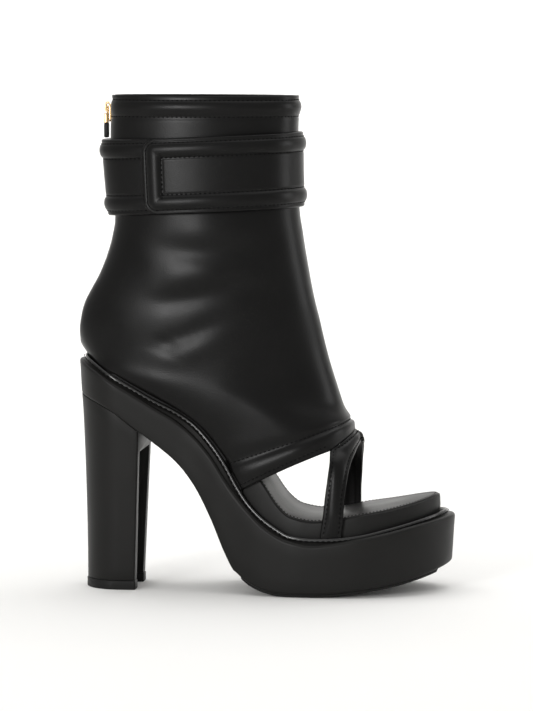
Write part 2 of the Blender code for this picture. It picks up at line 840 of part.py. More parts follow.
# The strap starts under its own tab on the outer side, passes the back, the inner
# side and the front, and ends in the tab that lies over its start.
def build_ankle_strap(material, collection, root):
    data = bmesh.new()
    start = UNDER_END_ANGLE
    end = 360 + TAB_ANGLE
    columns = []
    for k in range(STRAP_TURN_STEPS + 1):
        turn = start + (end - start) * k / STRAP_TURN_STEPS
        left = math.radians(end - turn) * TAB_TURN_RADIUS
        cut = 0.0
        if left < TAB_CORNER:
            cut = TAB_CORNER - math.sqrt(max(TAB_CORNER ** 2 - (TAB_CORNER - left) ** 2, 0.0))
        trim = cut / ANKLE_STRAP_FRONT_HEIGHT
        column = []
        for share, bulge in ANKLE_STRAP_ROWS:
            place = trim + (1 - 2 * trim) * share
            column.append(data.verts.new(ankle_strap_point(turn, place, bulge)))
        columns.append(column)
    for first, second in zip(columns, columns[1:]):
        for i in range(len(first) - 1):
            data.faces.new((first[i], first[i + 1], second[i + 1], second[i]))
    strap = add_object("ankle_strap", data, material, collection, root)
    wall = strap.modifiers.new("wall", "SOLIDIFY")
    wall.thickness = ANKLE_STRAP_THICK
    wall.offset = -1.0
    wall.use_even_offset = True
    return strap


# Middle line of the back of the shaft.
def back_line(height):
    rows = SHAFT_ROWS[::-1]
    return float(np.interp(height, [level(row[3]) for row in rows], [row[2] * PLATFORM_LENGTH for row in rows]))


def back_strip(name, width, sink, thick, material, collection, root):
    data = bmesh.new()
    rows = []
    top = COLLAR_RIM - ZIP_TOP_DROP
    bottom = level(SHAFT_ROWS[SLIT_ROWS - 1][3]) + ZIP_END_CLEAR
    heights = [bottom + (top - bottom) * k / ZIP_STEPS for k in range(ZIP_STEPS + 1)]
    for height in heights:
        x = back_line(height) + sink
        rows.append([data.verts.new((x, side * width / 2, height)) for side in (-1, 1)])
    for low, high in zip(rows, rows[1:]):
        data.faces.new((low[1], low[0], high[0], high[1]))
    strip = add_object(name, data, material, collection, root)
    wall = strip.modifiers.new("wall", "SOLIDIFY")
    wall.thickness = thick
    wall.offset = -1.0
    return strip


def add_box(data, low, high):
    corners = []
    for x in (low[0], high[0]):
        for y in (low[1], high[1]):
            for z in (low[2], high[2]):
                corners.append(data.verts.new((x, y, z)))
    for face in ((0, 1, 3, 2), (4, 6, 7, 5), (0, 4, 5, 1), (2, 3, 7, 6), (0, 2, 6, 4), (1, 5, 7, 3)):
        data.faces.new([corners[i] for i in face])


def box_node(name, low, high, material, collection, root, radius):
    data = bmesh.new()
    add_box(data, low, high)
    bmesh.ops.recalc_face_normals(data, faces=data.faces)
    item = add_object(name, data, material, collection, root)
    soften = item.modifiers.new("soft_edges", "BEVEL")
    soften.width = radius
    soften.segments = EDGE_SEGMENTS
    return item


# Flat closed frame with a hole, given by its outer and inner rectangles.
def frame_data(outer, inner, low, high, axis):
    data = bmesh.new()

    def place(a, b, c):
        return (a, c, b) if axis == 1 else (c, a, b)

    def corners(rect, level):
        a0, b0, a1, b1 = rect
        return [data.verts.new(place(a, b, level)) for a, b in ((a0, b0), (a1, b0), (a1, b1), (a0, b1))]

    low_outer = corners(outer, low)
    low_inner = corners(inner, low)
    high_outer = corners(outer, high)
    high_inner = corners(inner, high)
    for i in range(4):
        j = (i + 1) % 4
        data.faces.new((low_outer[i], low_outer[j], low_inner[j], low_inner[i]))
        data.faces.new((high_outer[i], high_outer[j], high_inner[j], high_inner[i]))
        data.faces.new((low_outer[i], low_outer[j], high_outer[j], high_outer[i]))
        data.faces.new((low_inner[i], low_inner[j], high_inner[j], high_inner[i]))
    bmesh.ops.recalc_face_normals(data, faces=data.faces)
    return data


# Outer face of the slider, clear of the teeth behind it.
def slider_face():
    top = COLLAR_RIM - SLIDER_DROP
    heights = [top - SLIDER_LENGTH * k / ZIP_STEPS for k in range(ZIP_STEPS + 1)]
    teeth = min(back_line(height) for height in heights) + TAPE_SINK - GAP - TEETH_THICK
    return teeth - GAP - SLIDER_THICK


def pivot_height():
    return COLLAR_RIM - BRIDGE_DROP - BRIDGE_LENGTH / 2


def build_slider(material, collection, root):
    face = slider_face()
    half = SLIDER_WIDTH / 2
    top = COLLAR_RIM - SLIDER_DROP
    low = (face, -half, top - SLIDER_LENGTH)
    high = (face + SLIDER_THICK, half, top)
    body = box_node("slider_body", low, high, material, collection, root, SMALL_ROUND)
    arch = COLLAR_RIM - BRIDGE_DROP
    foot = arch - BRIDGE_LENGTH
    outer = (face - BRIDGE_HOLE - BRIDGE_BAR, foot, face + BRIDGE_BAR, arch)
    inner = (face - BRIDGE_HOLE, foot + BRIDGE_BAR, face, arch - BRIDGE_BAR)
    bridge_data = frame_data(outer, inner, -BRIDGE_WIDTH / 2, BRIDGE_WIDTH / 2, 1)
    bridge = add_object("slider_bridge", bridge_data, material, collection, root)
    join = body.modifiers.new("bridge", "BOOLEAN")
    join.operation = "UNION"
    join.solver = "EXACT"
    join.object = bridge
    return bridge


def build_pull(material, leather, collection, root):
    face = slider_face()
    pivot = pivot_height()
    half = LINK_WIDTH / 2
    low = face - BRIDGE_HOLE / 2 - LINK_BAR / 2
    ferrule_top = pivot - LINK_LENGTH
    ferrule_bottom = ferrule_top - FERRULE_LENGTH
    outer = (-half, ferrule_top - LINK_BAR, half, pivot + LINK_BAR / 2)
    inner = (-half + LINK_BAR, ferrule_top, half - LINK_BAR, pivot - LINK_BAR / 2)
    link = add_object("zip_link", frame_data(outer, inner, low, low + LINK_BAR, 0), material, collection, root)
    ferrule_x = face - GAP - FERRULE_THICK
    ferrule = box_node(
        "ferrule_block",
        (ferrule_x, -FERRULE_WIDTH / 2, ferrule_bottom),
        (ferrule_x + FERRULE_THICK, FERRULE_WIDTH / 2, ferrule_top),
        material, collection, root, SMALL_ROUND,
    )
    join = link.modifiers.new("ferrule", "BOOLEAN")
    join.operation = "UNION"
    join.solver = "EXACT"
    join.object = ferrule
    middle = ferrule_x + FERRULE_THICK / 2
    box_node(
        "zip_pull_tab",
        (middle - PULL_THICK / 2, -PULL_WIDTH / 2, ferrule_bottom - GAP - PULL_LENGTH),
        (middle + PULL_THICK / 2, PULL_WIDTH / 2, ferrule_bottom - GAP),
        leather, collection, root, SMALL_ROUND,
    )
    return ferrule


def move_to_cutters(item, parts, cutters):
    parts.objects.unlink(item)
    cutters.objects.link(item)
    item.hide_render = True
    item.display_type = "WIRE"


def build_shoe():
    clear_scene()
    parts = bpy.data.collections.new("platform_ankle_boot")
    cutters = bpy.data.collections.new("cutters")
    bpy.context.scene.collection.children.link(parts)
    bpy.context.scene.collection.children.link(cutters)
    root = bpy.data.objects.new("boot_root", None)
    low = PLAN_LOOP.min(axis=0)
    high = PLAN_LOOP.max(axis=0)
    root.location = (-(low[0] + high[0]) / 2, -(low[1] + high[1]) / 2, 0.0)
    parts.objects.link(root)

    made = {slot: make_material(slot, *values) for slot, values in MATERIALS.items()}
    cutter = build_channel_cutter(cutters, root)
    build_platform(made["platform_black_leather"], parts, root)
    build_tread(made["tread_black_rubber"], parts, root)
    build_welt(made["welt_black_leather"], parts, root)
    build_heel(made["heel_black_leather"], parts, root, cutter)
    build_top_lift(made["top_lift_black_rubber"], parts, root, cutter)
    build_footbed(made["footbed_black_leather"], parts, root)
    build_insole(made["insole_grey_satin"], parts, root)
    build_upper(made["upper_black_satin"], parts, root)
    build_ankle_strap(made["ankle_strap_black_satin"], parts, root)
    back_strip("zip_tape", TAPE_WIDTH, TAPE_SINK, TAPE_THICK, made["zip_tape_black"], parts, root)
    teeth_sink = TAPE_SINK - GAP - TEETH_THICK
    back_strip("zip_teeth", TEETH_WIDTH, teeth_sink, TEETH_THICK, made["zip_teeth_black"], parts, root)
    bridge = build_slider(made["slider_pale_gold"], parts, root)
    ferrule = build_pull(made["link_pale_gold"], made["pull_tab_black_leather"], parts, root)
    move_to_cutters(bridge, parts, cutters)
    move_to_cutters(ferrule, parts, cutters)


build_shoe()
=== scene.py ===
import math
from functools import lru_cache

import bmesh
import bpy
import numpy as np
from mathutils import Matrix, Vector, noise


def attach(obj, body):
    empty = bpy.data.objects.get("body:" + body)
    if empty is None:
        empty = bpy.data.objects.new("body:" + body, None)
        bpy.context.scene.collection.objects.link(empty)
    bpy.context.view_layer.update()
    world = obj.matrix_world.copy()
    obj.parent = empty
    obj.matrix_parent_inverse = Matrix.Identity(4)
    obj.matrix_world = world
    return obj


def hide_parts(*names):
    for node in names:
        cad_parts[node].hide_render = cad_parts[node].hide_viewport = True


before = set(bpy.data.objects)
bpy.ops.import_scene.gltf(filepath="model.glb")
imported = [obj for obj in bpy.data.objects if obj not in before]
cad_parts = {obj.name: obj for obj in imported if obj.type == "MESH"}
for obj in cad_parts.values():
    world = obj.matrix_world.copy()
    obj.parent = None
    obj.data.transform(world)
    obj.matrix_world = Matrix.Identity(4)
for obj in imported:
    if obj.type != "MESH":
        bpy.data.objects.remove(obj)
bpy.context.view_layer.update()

# Sizes of the shoe, metres, as in the part
PLATFORM_LENGTH = 0.2172
FOREFOOT_WIDTH = 0.0880
SEAT_HEIGHT = 0.1336
SHAFT_HEIGHT = 0.1509
SHAFT_WIDTH = 0.0670
HEEL_WIDTH = 0.0562
GAP = 0.0003
COLLAR_RIM = SEAT_HEIGHT + SHAFT_HEIGHT
SLOPE_STEP = 0.0020
SIDE_SHIFT = 0.00026
OFFSET = Vector((-PLATFORM_LENGTH / 2, SIDE_SHIFT, 0.0))

HEEL_END_ROUND = 0.0260
TOE_END_ROUND = 0.0560
TOE_DRIFT_START = 0.1400
TOE_DRIFT = 0.0045

EDGE_RADIUS = 0.0023
FOOT_RADIUS = 0.0015
HEEL_DRAFT = 0.0010
TOE_DRAFT = 0.0016
FEATHER_INSET_HEEL = 0.0053
FEATHER_INSET_TOE = 0.0066
WELT_WIDTH = 0.0017
WELT_HEIGHT = 0.0018
LEDGE_DIP = 0.0006
UPPER_WALL = 0.0018
FOOTBED_ROUND = 0.0016
FOOTBED_HEEL_EASE = 0.0018
INSOLE_THICK = 0.0012
INSOLE_INSET = 0.0012

TREAD_THICK = 0.0015
TREAD_INSET = 0.0010
TREAD_CORNER = 0.0080
TREAD_START = 0.0960
TREAD_END = 0.2080
RECESS_RUN = 0.0040

BREAST = 0.0376
BREAST_BOTTOM = 0.0343
HEEL_BACK_TOP = 0.0011
HEEL_BACK_BOW = 0.80
HEEL_BACK_BOTTOM = 0.0041
HEEL_BOTTOM_WIDTH = 0.0430
BREAST_CORNER = 0.0012
LIFT_THICK = 0.0052
LIFT_PROUD = 0.0004
CHANNEL_TOP = 0.0800
CHANNEL_TOP_WIDTH = 0.0390
CHANNEL_BOTTOM_WIDTH = 0.0240
CHANNEL_DEPTH = 0.0160
CHANNEL_CORNER = 0.0030
CUTTER_PAST = 0.0060

FEATHER_RISE = 0.0024
VAMP_CLEAR = 0.0004
ROW_FULLNESS = 0.9
CROTCH_DROP = 0.0040
CROTCH_FADE = 3.0
ZIP_SLIT = 0.0068
ZIP_FACING = 0.0030
ZIP_TOP_DROP = 0.0015
ZIP_END_CLEAR = 0.0012
TAPE_WIDTH = 0.0060
TAPE_THICK = 0.0009
TAPE_SINK = 0.0011
TEETH_THICK = 0.0008

STRAP_RIDGE = 0.0008

ANKLE_STRAP_THICK = 0.0024
ANKLE_STRAP_CLEAR = 0.0006
ANKLE_STRAP_BEAD = 0.0013
ANKLE_STRAP_TOP_SLACK = 0.0029
ANKLE_STRAP_LOW_SLACK = 0.0013
SLACK_START = 120.0
SLACK_END = 180.0
ANKLE_STRAP_BACK_DROP = 0.0255
ANKLE_STRAP_BACK_HEIGHT = 0.0435
ANKLE_STRAP_FRONT_DROP = 0.0209
ANKLE_STRAP_FRONT_HEIGHT = 0.0428
TAB_CORNER = 0.0080
TAB_ANGLE = 124.0
UNDER_END_ANGLE = 58.0
LAYER_RAMP_START = 14.0
LAYER_RAMP_END = 50.0
LAYER_CLEAR = 0.0006
TAB_TURN_RADIUS = 0.0495

SLIDER_DROP = 0.0053
SLIDER_WIDTH = 0.0066
SLIDER_THICK = 0.0018
SLIDER_LENGTH = 0.0102
BRIDGE_DROP = 0.0042
BRIDGE_LENGTH = 0.0056
BRIDGE_BAR = 0.0009
BRIDGE_HOLE = 0.0015
BRIDGE_WIDTH = 0.0016
LINK_BAR = 0.0009
LINK_WIDTH = 0.0052
LINK_LENGTH = 0.0038
FERRULE_LENGTH = 0.0057
FERRULE_WIDTH = 0.0058
FERRULE_THICK = 0.0024
PULL_LENGTH = 0.0079
PULL_WIDTH = 0.0052
PULL_THICK = 0.0024

SIDE_STEPS = 14
CROTCH_STEP = 4

# Columns: along; outer and inner half width shares
PLAN = (
    (0.000, 0.347, 0.341),
    (0.208, 0.347, 0.341),
    (0.287, 0.345, 0.335),
    (0.396, 0.392, 0.355),
    (0.505, 0.464, 0.416),
    (0.619, 0.508, 0.473),
    (0.733, 0.511, 0.494),
    (0.851, 0.503, 0.489),
    (1.000, 0.490, 0.480),
)

# Columns: along; platform edge, bead, underside and footbed top as shares of the seat height
PROFILE = (
    (0.000, 1.000, 1.030, 0.846, 1.108),
    (0.047, 0.963, 0.988, 0.820, 1.067),
    (0.101, 0.909, 0.933, 0.778, 1.014),
    (0.156, 0.858, 0.883, 0.711, 0.966),
    (0.212, 0.803, 0.831, 0.645, 0.917),
    (0.276, 0.741, 0.779, 0.558, 0.867),
    (0.323, 0.677, 0.726, 0.459, 0.820),
    (0.368, 0.594, 0.647, 0.319, 0.756),
    (0.405, 0.504, 0.564, 0.178, 0.692),
    (0.438, 0.431, 0.469, 0.083, 0.625),
    (0.469, 0.371, 0.396, 0.043, 0.558),
    (0.507, 0.310, 0.336, 0.016, 0.478),
    (0.547, 0.267, 0.291, 0.002, 0.384),
    (0.580, 0.245, 0.264, 0.000, 0.341),
    (0.642, 0.228, 0.253, 0.000, 0.322),
    (0.681, 0.234, 0.254, 0.003, 0.327),
    (0.759, 0.256, 0.266, 0.019, 0.349),
    (0.830, 0.278, 0.291, 0.036, 0.368),
    (0.902, 0.305, 0.319, 0.063, 0.394),
    (0.966, 0.325, 0.347, 0.095, 0.421),
    (1.000, 0.335, 0.364, 0.117, 0.434),
)
PROFILE_COLUMN = {"edge": 1, "bead": 2, "under": 3, "seat": 4}

# Columns: front along and height, back along and height, half width share
SHAFT_ROWS = (
    (0.584, 0.998, 0.0924, 1.000, 0.484),
    (0.586, 0.983, 0.0914, 0.983, 0.496),
    (0.591, 0.955, 0.0884, 0.955, 0.513),
    (0.585, 0.919, 0.0894, 0.919, 0.499),
    (0.583, 0.864, 0.0881, 0.851, 0.499),
    (0.584, 0.706, 0.0930, 0.693, 0.501),
    (0.587, 0.566, 0.0990, 0.540, 0.504),
    (0.596, 0.476, 0.0921, 0.466, 0.507),
    (0.607, 0.365, 0.0782, 0.391, 0.507),
    (0.624, 0.244, 0.0574, 0.318, 0.507),
    (0.640, 0.146, 0.0366, 0.265, 0.504),
    (0.653, 0.059, 0.0158, 0.206, 0.501),
    (0.666, -0.001, 0.0069, 0.155, 0.499),
    (0.677, -0.057, 0.0020, 0.101, 0.496),
    (0.684, -0.101, 0.0010, 0.063, 0.496),
    (0.690, -0.129, 0.0079, 0.037, 0.498),
    (0.693, -0.144, 0.0198, 0.018, 0.500),
    (0.696, -0.159, 0.0244, 0.001, 0.503),
)
SLIT_ROWS = 14

# Columns: front along and height, foot along the platform, half width share
VAMP_ROWS = (
    (0.698, -0.174, 0.0300, 0.504),
    (0.700, -0.184, 0.0430, 0.509),
    (0.702, -0.195, 0.0660, 0.514),
    (0.704, -0.204, 0.1000, 0.517),
    (0.707, -0.212, 0.1676, 0.520),
    (0.709, -0.221, 0.2100, 0.522),
    (0.711, -0.227, 0.2600, 0.525),
    (0.714, -0.233, 0.3000, 0.528),
    (0.717, -0.240, 0.3350, 0.530),
    (0.720, -0.246, 0.3650, 0.531),
    (0.723, -0.255, 0.3900, 0.532),
    (0.724, -0.263, 0.4120, 0.531),
    (0.733, -0.280, 0.4320, 0.551),
    (0.735, -0.306, 0.4500, 0.534),
)

# Columns: along, up the seat height, half width share of the forefoot
STRAP_REAR = (
    (0.683, 0.580, 0.392),
    (0.678, 0.500, 0.424),
    (0.672, 0.420, 0.437),
    (0.667, 0.340, 0.440),
)
STRAP_FRONT = (
    (0.752, 0.642, 0.000),
    (0.750, 0.635, 0.060),
    (0.746, 0.621, 0.130),
    (0.743, 0.603, 0.205),
    (0.739, 0.581, 0.280),
    (0.733, 0.540, 0.352),
    (0.728, 0.475, 0.402),
    (0.723, 0.400, 0.428),
    (0.721, 0.330, 0.438),
)
STRAP_FOOT_REAR = 0.660
STRAP_FOOT_FRONT = 0.717
STRAP_INNER_SHIFT = 0.0050

# Rows where the vamp's padded edge starts and ends, and rows of the collar's two seams
BAND_ROW = 29
EDGE_ROW = 31
COLLAR_SEAMS = (1, 3)

# How many slices each interval between rows gets
ROW_SLICES = (4, 7, 7, 5, 7, 8, 8, 10, 10, 9, 8, 6, 6, 5, 4, 3, 3, 3, 4, 4, 6, 7, 6, 6, 5, 5, 5, 5, 6, 8, 8)
HALF_SAMPLES = 50

# Stitching
STITCH_PITCH = 0.0027
STITCH_LENGTH = 0.0016
STITCH_RADIUS = 0.00036


def column_at(table, column, share):
    rows = np.array(table, dtype=float)
    return float(shape_keeping(rows[:, 0], rows[:, column:column + 1], np.array([share]))[0, 0])


# Shape-keeping interpolation of several columns at several places.
def shape_keeping(xs, values, places):
    steps = np.diff(xs)[:, None]
    slopes = np.diff(values, axis=0) / steps
    tangents = np.zeros_like(values)
    tangents[0] = slopes[0]
    tangents[-1] = slopes[-1]
    for i in range(1, len(xs) - 1):
        before = 2 * steps[i] + steps[i - 1]
        after = steps[i] + 2 * steps[i - 1]
        left, right = slopes[i - 1], slopes[i]
        same = left * right > 0
        safe_left = np.where(same, left, 1.0)
        safe_right = np.where(same, right, 1.0)
        tangents[i] = np.where(same, (before + after) / (before / safe_left + after / safe_right), 0.0)
    clipped = np.clip(places, xs[0], xs[-1])
    i = np.clip(np.searchsorted(xs, clipped, side="right") - 1, 0, len(steps) - 1)
    t = ((clipped - xs[i]) / steps[i, 0])[:, None]
    rise = values[i + 1] - values[i]
    start = tangents[i] * steps[i]
    end = tangents[i + 1] * steps[i]
    return values[i] + t * start + t * t * (3 * rise - 2 * start - end) + t ** 3 * (start + end - 2 * rise)


def smooth_step(start, end, value):
    t = min(max((value - start) / (end - start), 0.0), 1.0)
    return t * t * (3 - 2 * t)


@lru_cache(maxsize=None)
def profile(line, x):
    return column_at(PROFILE, PROFILE_COLUMN[line], x / PLATFORM_LENGTH) * SEAT_HEIGHT


def level(share):
    if share >= 0:
        return SEAT_HEIGHT + share * SHAFT_HEIGHT
    return SEAT_HEIGHT * (1 + share)


@lru_cache(maxsize=None)
def steepness(x):
    slope = (profile("bead", x + SLOPE_STEP) - profile("bead", x - SLOPE_STEP)) / (2 * SLOPE_STEP)
    return math.sqrt(1 + slope * slope)


def deck(x):
    return profile("bead", x) - WELT_HEIGHT * steepness(x)


def plan_side(x, side):
    column = 1 if side < 0 else 2
    half = column_at(PLAN, column, x / PLATFORM_LENGTH) * FOREFOOT_WIDTH
    heel = min(x / HEEL_END_ROUND, 1.0)
    toe = min((PLATFORM_LENGTH - x) / TOE_END_ROUND, 1.0)
    round_off = math.sqrt(max(1 - (1 - heel) ** 2, 0.0)) * math.sqrt(max(1 - (1 - toe) ** 2, 0.0))
    drift = TOE_DRIFT * smooth_step(TOE_DRIFT_START, PLATFORM_LENGTH, x)
    return drift + side * half * round_off


# Places along the shoe: close together where the plan or the profile turns fast.
def dense_stations():
    heel = [HEEL_END_ROUND * (1 - math.cos(math.pi / 2 * k / 22)) for k in range(22)]
    middle = list(np.linspace(HEEL_END_ROUND, PLATFORM_LENGTH - TOE_END_ROUND, 66))
    toe = [PLATFORM_LENGTH - TOE_END_ROUND * (1 - math.sin(math.pi / 2 * k / 34)) for k in range(1, 35)]
    exact = [BREAST, BREAST - BREAST_CORNER]
    return sorted(set(round(x, 6) for x in heel + middle + toe + exact))


STATION_X = dense_stations()


def plan_loop():
    outer = [(x, plan_side(x, -1)) for x in STATION_X]
    inner = [(x, plan_side(x, 1)) for x in STATION_X[-2:0:-1]]
    return np.array(outer + inner)


def inward_normals(loop):
    along = np.roll(loop, -1, axis=0) - np.roll(loop, 1, axis=0)
    along /= np.linalg.norm(along, axis=1)[:, None]
    return np.stack([-along[:, 1], along[:, 0]], axis=1)


PLAN_LOOP = plan_loop()
PLAN_INWARD = inward_normals(PLAN_LOOP)


def inset_loop(distance):
    distances = np.array([distance(x) if callable(distance) else distance for x in PLAN_LOOP[:, 0]])
    return PLAN_LOOP + PLAN_INWARD * distances[:, None]


def ring(distance, height):
    return [(x, y, height(x)) for x, y in inset_loop(distance)]


@lru_cache(maxsize=None)
def feather_inset(x):
    share = smooth_step(BREAST, PLATFORM_LENGTH, x)
    return FEATHER_INSET_HEEL + (FEATHER_INSET_TOE - FEATHER_INSET_HEEL) * share


def footbed_inset(x):
    ease = FOOTBED_HEEL_EASE * (1 - smooth_step(BREAST, BREAST * 2, x))
    return feather_inset(x) + UPPER_WALL + GAP + ease


FEATHER_LOOP = inset_loop(feather_inset)


def feather_side(x, side):
    half = len(STATION_X)
    if side < 0:
        run = FEATHER_LOOP[:half]
    else:
        run = np.vstack([FEATHER_LOOP[:1], FEATHER_LOOP[:half - 2:-1]])
    return float(np.interp(x, run[:, 0], run[:, 1]))


def side_draft(x):
    return HEEL_DRAFT + (TOE_DRAFT - HEEL_DRAFT) * smooth_step(BREAST, PLATFORM_LENGTH, x)


def under_recess(x):
    return (TREAD_THICK + GAP) * smooth_step(TREAD_START - RECESS_RUN, TREAD_START, x)


def platform_under(x):
    return profile("under", x) + under_recess(x)


# Materials

def shader_of(material):
    return material.node_tree.nodes["Principled BSDF"]


def new_material(name, colour, roughness, metallic=0.0):
    material = bpy.data.materials.new(name)
    material.use_nodes = True
    shader = shader_of(material)
    shader.inputs["Base Color"].default_value = (*colour, 1.0)
    shader.inputs["Roughness"].default_value = roughness
    shader.inputs["Metallic"].default_value = metallic
    return material


def add_node(material, kind, **values):
    node = material.node_tree.nodes.new(kind)
    for key, value in values.items():
        setattr(node, key, value)
    return node


def set_inputs(node, **values):
    for key, value in values.items():
        node.inputs[key.replace("_", " ")].default_value = value
    return node


# Leather: grain cells, fine pores, soft uneven gloss and slight change of tone.
def leather(name, colour, roughness, grain, depth, gloss_spread, specular=0.5, coat=0.0):
    material = new_material(name, colour, roughness)
    links = material.node_tree.links
    shader = shader_of(material)
    shader.inputs["Specular IOR Level"].default_value = specular
    shader.inputs["Coat Weight"].default_value = coat
    shader.inputs["Coat Roughness"].default_value = 0.30
    place = add_node(material, "ShaderNodeTexCoord")
    cells = set_inputs(add_node(material, "ShaderNodeTexVoronoi", feature="DISTANCE_TO_EDGE"), Scale=grain)
    pores = set_inputs(add_node(material, "ShaderNodeTexNoise"), Scale=grain * 1.9, Detail=4.0)
    clouds = set_inputs(add_node(material, "ShaderNodeTexNoise"), Scale=38.0, Detail=3.0)
    for texture in (cells, pores, clouds):
        links.new(place.outputs["Object"], texture.inputs["Vector"])
    first = set_inputs(add_node(material, "ShaderNodeBump"), Strength=depth, Distance=0.00012)
    second = set_inputs(add_node(material, "ShaderNodeBump"), Strength=depth * 0.7, Distance=0.00008)
    links.new(cells.outputs["Distance"], first.inputs["Height"])
    links.new(pores.outputs["Fac"], second.inputs["Height"])
    links.new(first.outputs["Normal"], second.inputs["Normal"])
    links.new(second.outputs["Normal"], shader.inputs["Normal"])
    spread = add_node(material, "ShaderNodeMapRange")
    spread.inputs["From Min"].default_value = 0.3
    spread.inputs["From Max"].default_value = 0.7
    spread.inputs["To Min"].default_value = roughness - gloss_spread
    spread.inputs["To Max"].default_value = roughness + gloss_spread
    links.new(clouds.outputs["Fac"], spread.inputs["Value"])
    links.new(spread.outputs["Result"], shader.inputs["Roughness"])
    tone = add_node(material, "ShaderNodeMix", data_type="RGBA")
    tone.inputs["A"].default_value = (*[c * 0.80 for c in colour], 1.0)
    tone.inputs["B"].default_value = (*[c * 1.25 for c in colour], 1.0)
    links.new(clouds.outputs["Fac"], tone.inputs["Factor"])
    links.new(tone.outputs["Result"], shader.inputs["Base Color"])
    return material


# Woven cloth: two crossed waves of thread.
def woven(name, colour, roughness, threads, depth, sheen):
    material = new_material(name, colour, roughness)
    links = material.node_tree.links
    shader = shader_of(material)
    shader.inputs["Sheen Weight"].default_value = sheen
    shader.inputs["Sheen Roughness"].default_value = 0.4
    place = add_node(material, "ShaderNodeTexCoord")
    height = None
    for direction in ("X", "Y"):
        wave = add_node(material, "ShaderNodeTexWave", bands_direction=direction)
        set_inputs(wave, Scale=threads, Distortion=0.6, Detail=1.0)
        links.new(place.outputs["Object"], wave.inputs["Vector"])
        bump = set_inputs(add_node(material, "ShaderNodeBump"), Strength=depth, Distance=0.00010)
        links.new(wave.outputs["Fac"], bump.inputs["Height"])
        if height is not None:
            links.new(height.outputs["Normal"], bump.inputs["Normal"])
        height = bump
    links.new(height.outputs["Normal"], shader.inputs["Normal"])
    clouds = set_inputs(add_node(material, "ShaderNodeTexNoise"), Scale=60.0, Detail=3.0)
    links.new(place.outputs["Object"], clouds.inputs["Vector"])
    tone = add_node(material, "ShaderNodeMix", data_type="RGBA")
    tone.inputs["A"].default_value = (*[c * 0.85 for c in colour], 1.0)
    tone.inputs["B"].default_value = (*[c * 1.15 for c in colour], 1.0)
    links.new(clouds.outputs["Fac"], tone.inputs["Factor"])
    links.new(tone.outputs["Result"], shader.inputs["Base Color"])
    return material


# Rubber or metal with fine surface noise.
def speckled(name, colour, roughness, metallic, scale, depth, specular=0.5):
    material = new_material(name, colour, roughness, metallic)
    links = material.node_tree.links
    shader = shader_of(material)
    shader.inputs["Specular IOR Level"].default_value = specular
    place = add_node(material, "ShaderNodeTexCoord")
    grit = set_inputs(add_node(material, "ShaderNodeTexNoise"), Scale=scale, Detail=5.0)
    links.new(place.outputs["Object"], grit.inputs["Vector"])
    bump = set_inputs(add_node(material, "ShaderNodeBump"), Strength=depth, Distance=0.00010)
    links.new(grit.outputs["Fac"], bump.inputs["Height"])
    links.new(bump.outputs["Normal"], shader.inputs["Normal"])
    spread = add_node(material, "ShaderNodeMapRange")
    spread.inputs["To Min"].default_value = roughness * 0.8
    spread.inputs["To Max"].default_value = roughness * 1.2
    links.new(grit.outputs["Fac"], spread.inputs["Value"])
    links.new(spread.outputs["Result"], shader.inputs["Roughness"])
    return material


SATIN = leather("black_upper_leather", (0.0028, 0.0027, 0.0026), 0.34, 900.0, 0.35, 0.05, specular=0.15)
SATIN_STRAP = leather("black_strap_leather", (0.0028, 0.0027, 0.0026), 0.34, 900.0, 0.32, 0.04, specular=0.15)
LINING = leather("black_lining_leather", (0.0050, 0.0048, 0.0046), 0.62, 700.0, 0.25, 0.05, specular=0.10)
WRAP = leather("black_platform_leather", (0.0075, 0.0073, 0.0068), 0.44, 1100.0, 0.16, 0.03, specular=0.16)
BEAD_LEATHER = leather("black_welt_leather", (0.0065, 0.0063, 0.0060), 0.26, 1100.0, 0.15, 0.03, specular=0.50)
BED_LEATHER = leather("black_footbed_leather", (0.0070, 0.0068, 0.0064), 0.48, 900.0, 0.30, 0.04, specular=0.18)
SOCK = leather("grey_insole_satin", (0.016, 0.0155, 0.015), 0.42, 1300.0, 0.25, 0.06, specular=0.16)
RUBBER = speckled("black_tread_rubber", (0.0075, 0.0075, 0.0072), 0.62, 0.0, 900.0, 0.5, specular=0.18)
LIFT_RUBBER = speckled("black_lift_rubber", (0.0065, 0.0065, 0.0062), 0.50, 0.0, 900.0, 0.4, specular=0.18)
TAPE = woven("black_zip_tape", (0.010, 0.010, 0.010), 0.85, 420.0, 0.6, 0.2)
TEETH = speckled("black_zip_teeth", (0.010, 0.010, 0.010), 0.42, 0.0, 1500.0, 0.2)
GOLD = speckled("pale_gold", (0.60, 0.42, 0.22), 0.26, 1.0, 500.0, 0.15)
THREAD = woven("black_thread", (0.003, 0.003, 0.003), 0.90, 2600.0, 0.4, 0.0)
THREAD.node_tree.nodes["Principled BSDF"].inputs["Specular IOR Level"].default_value = 0.12


# Meshes

def add_mesh(name, verts, faces, material, body="shoe", nodes=(), slot=None, sharp=35.0):
    mesh = bpy.data.meshes.new(name)
    mesh.from_pydata([tuple(v) for v in verts], [], faces)
    mesh.transform(Matrix.Translation(OFFSET))
    mesh.shade_smooth()
    mesh.set_sharp_from_angle(angle=math.radians(sharp))
    mesh.materials.append(material)
    item = bpy.data.objects.new(name, mesh)
    bpy.context.scene.collection.objects.link(item)
    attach(item, body)
    if nodes:
        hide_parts(*nodes)
    return item


def turn_outward(item):
    data = bmesh.new()
    data.from_mesh(item.data)
    bmesh.ops.recalc_face_normals(data, faces=data.faces)
    data.to_mesh(item.data)
    data.free()
    return item


def cap_faces(count, has_tip):
    faces = []
    left, right = 0, count - 1
    if has_tip:
        faces.append((0, 1, count - 1))
        left = 1
    while right - left > 2:
        faces.append((left, left + 1, right - 1, right))
        left += 1
        right -= 1
    if right - left == 2:
        faces.append((left, left + 1, right))
    return faces


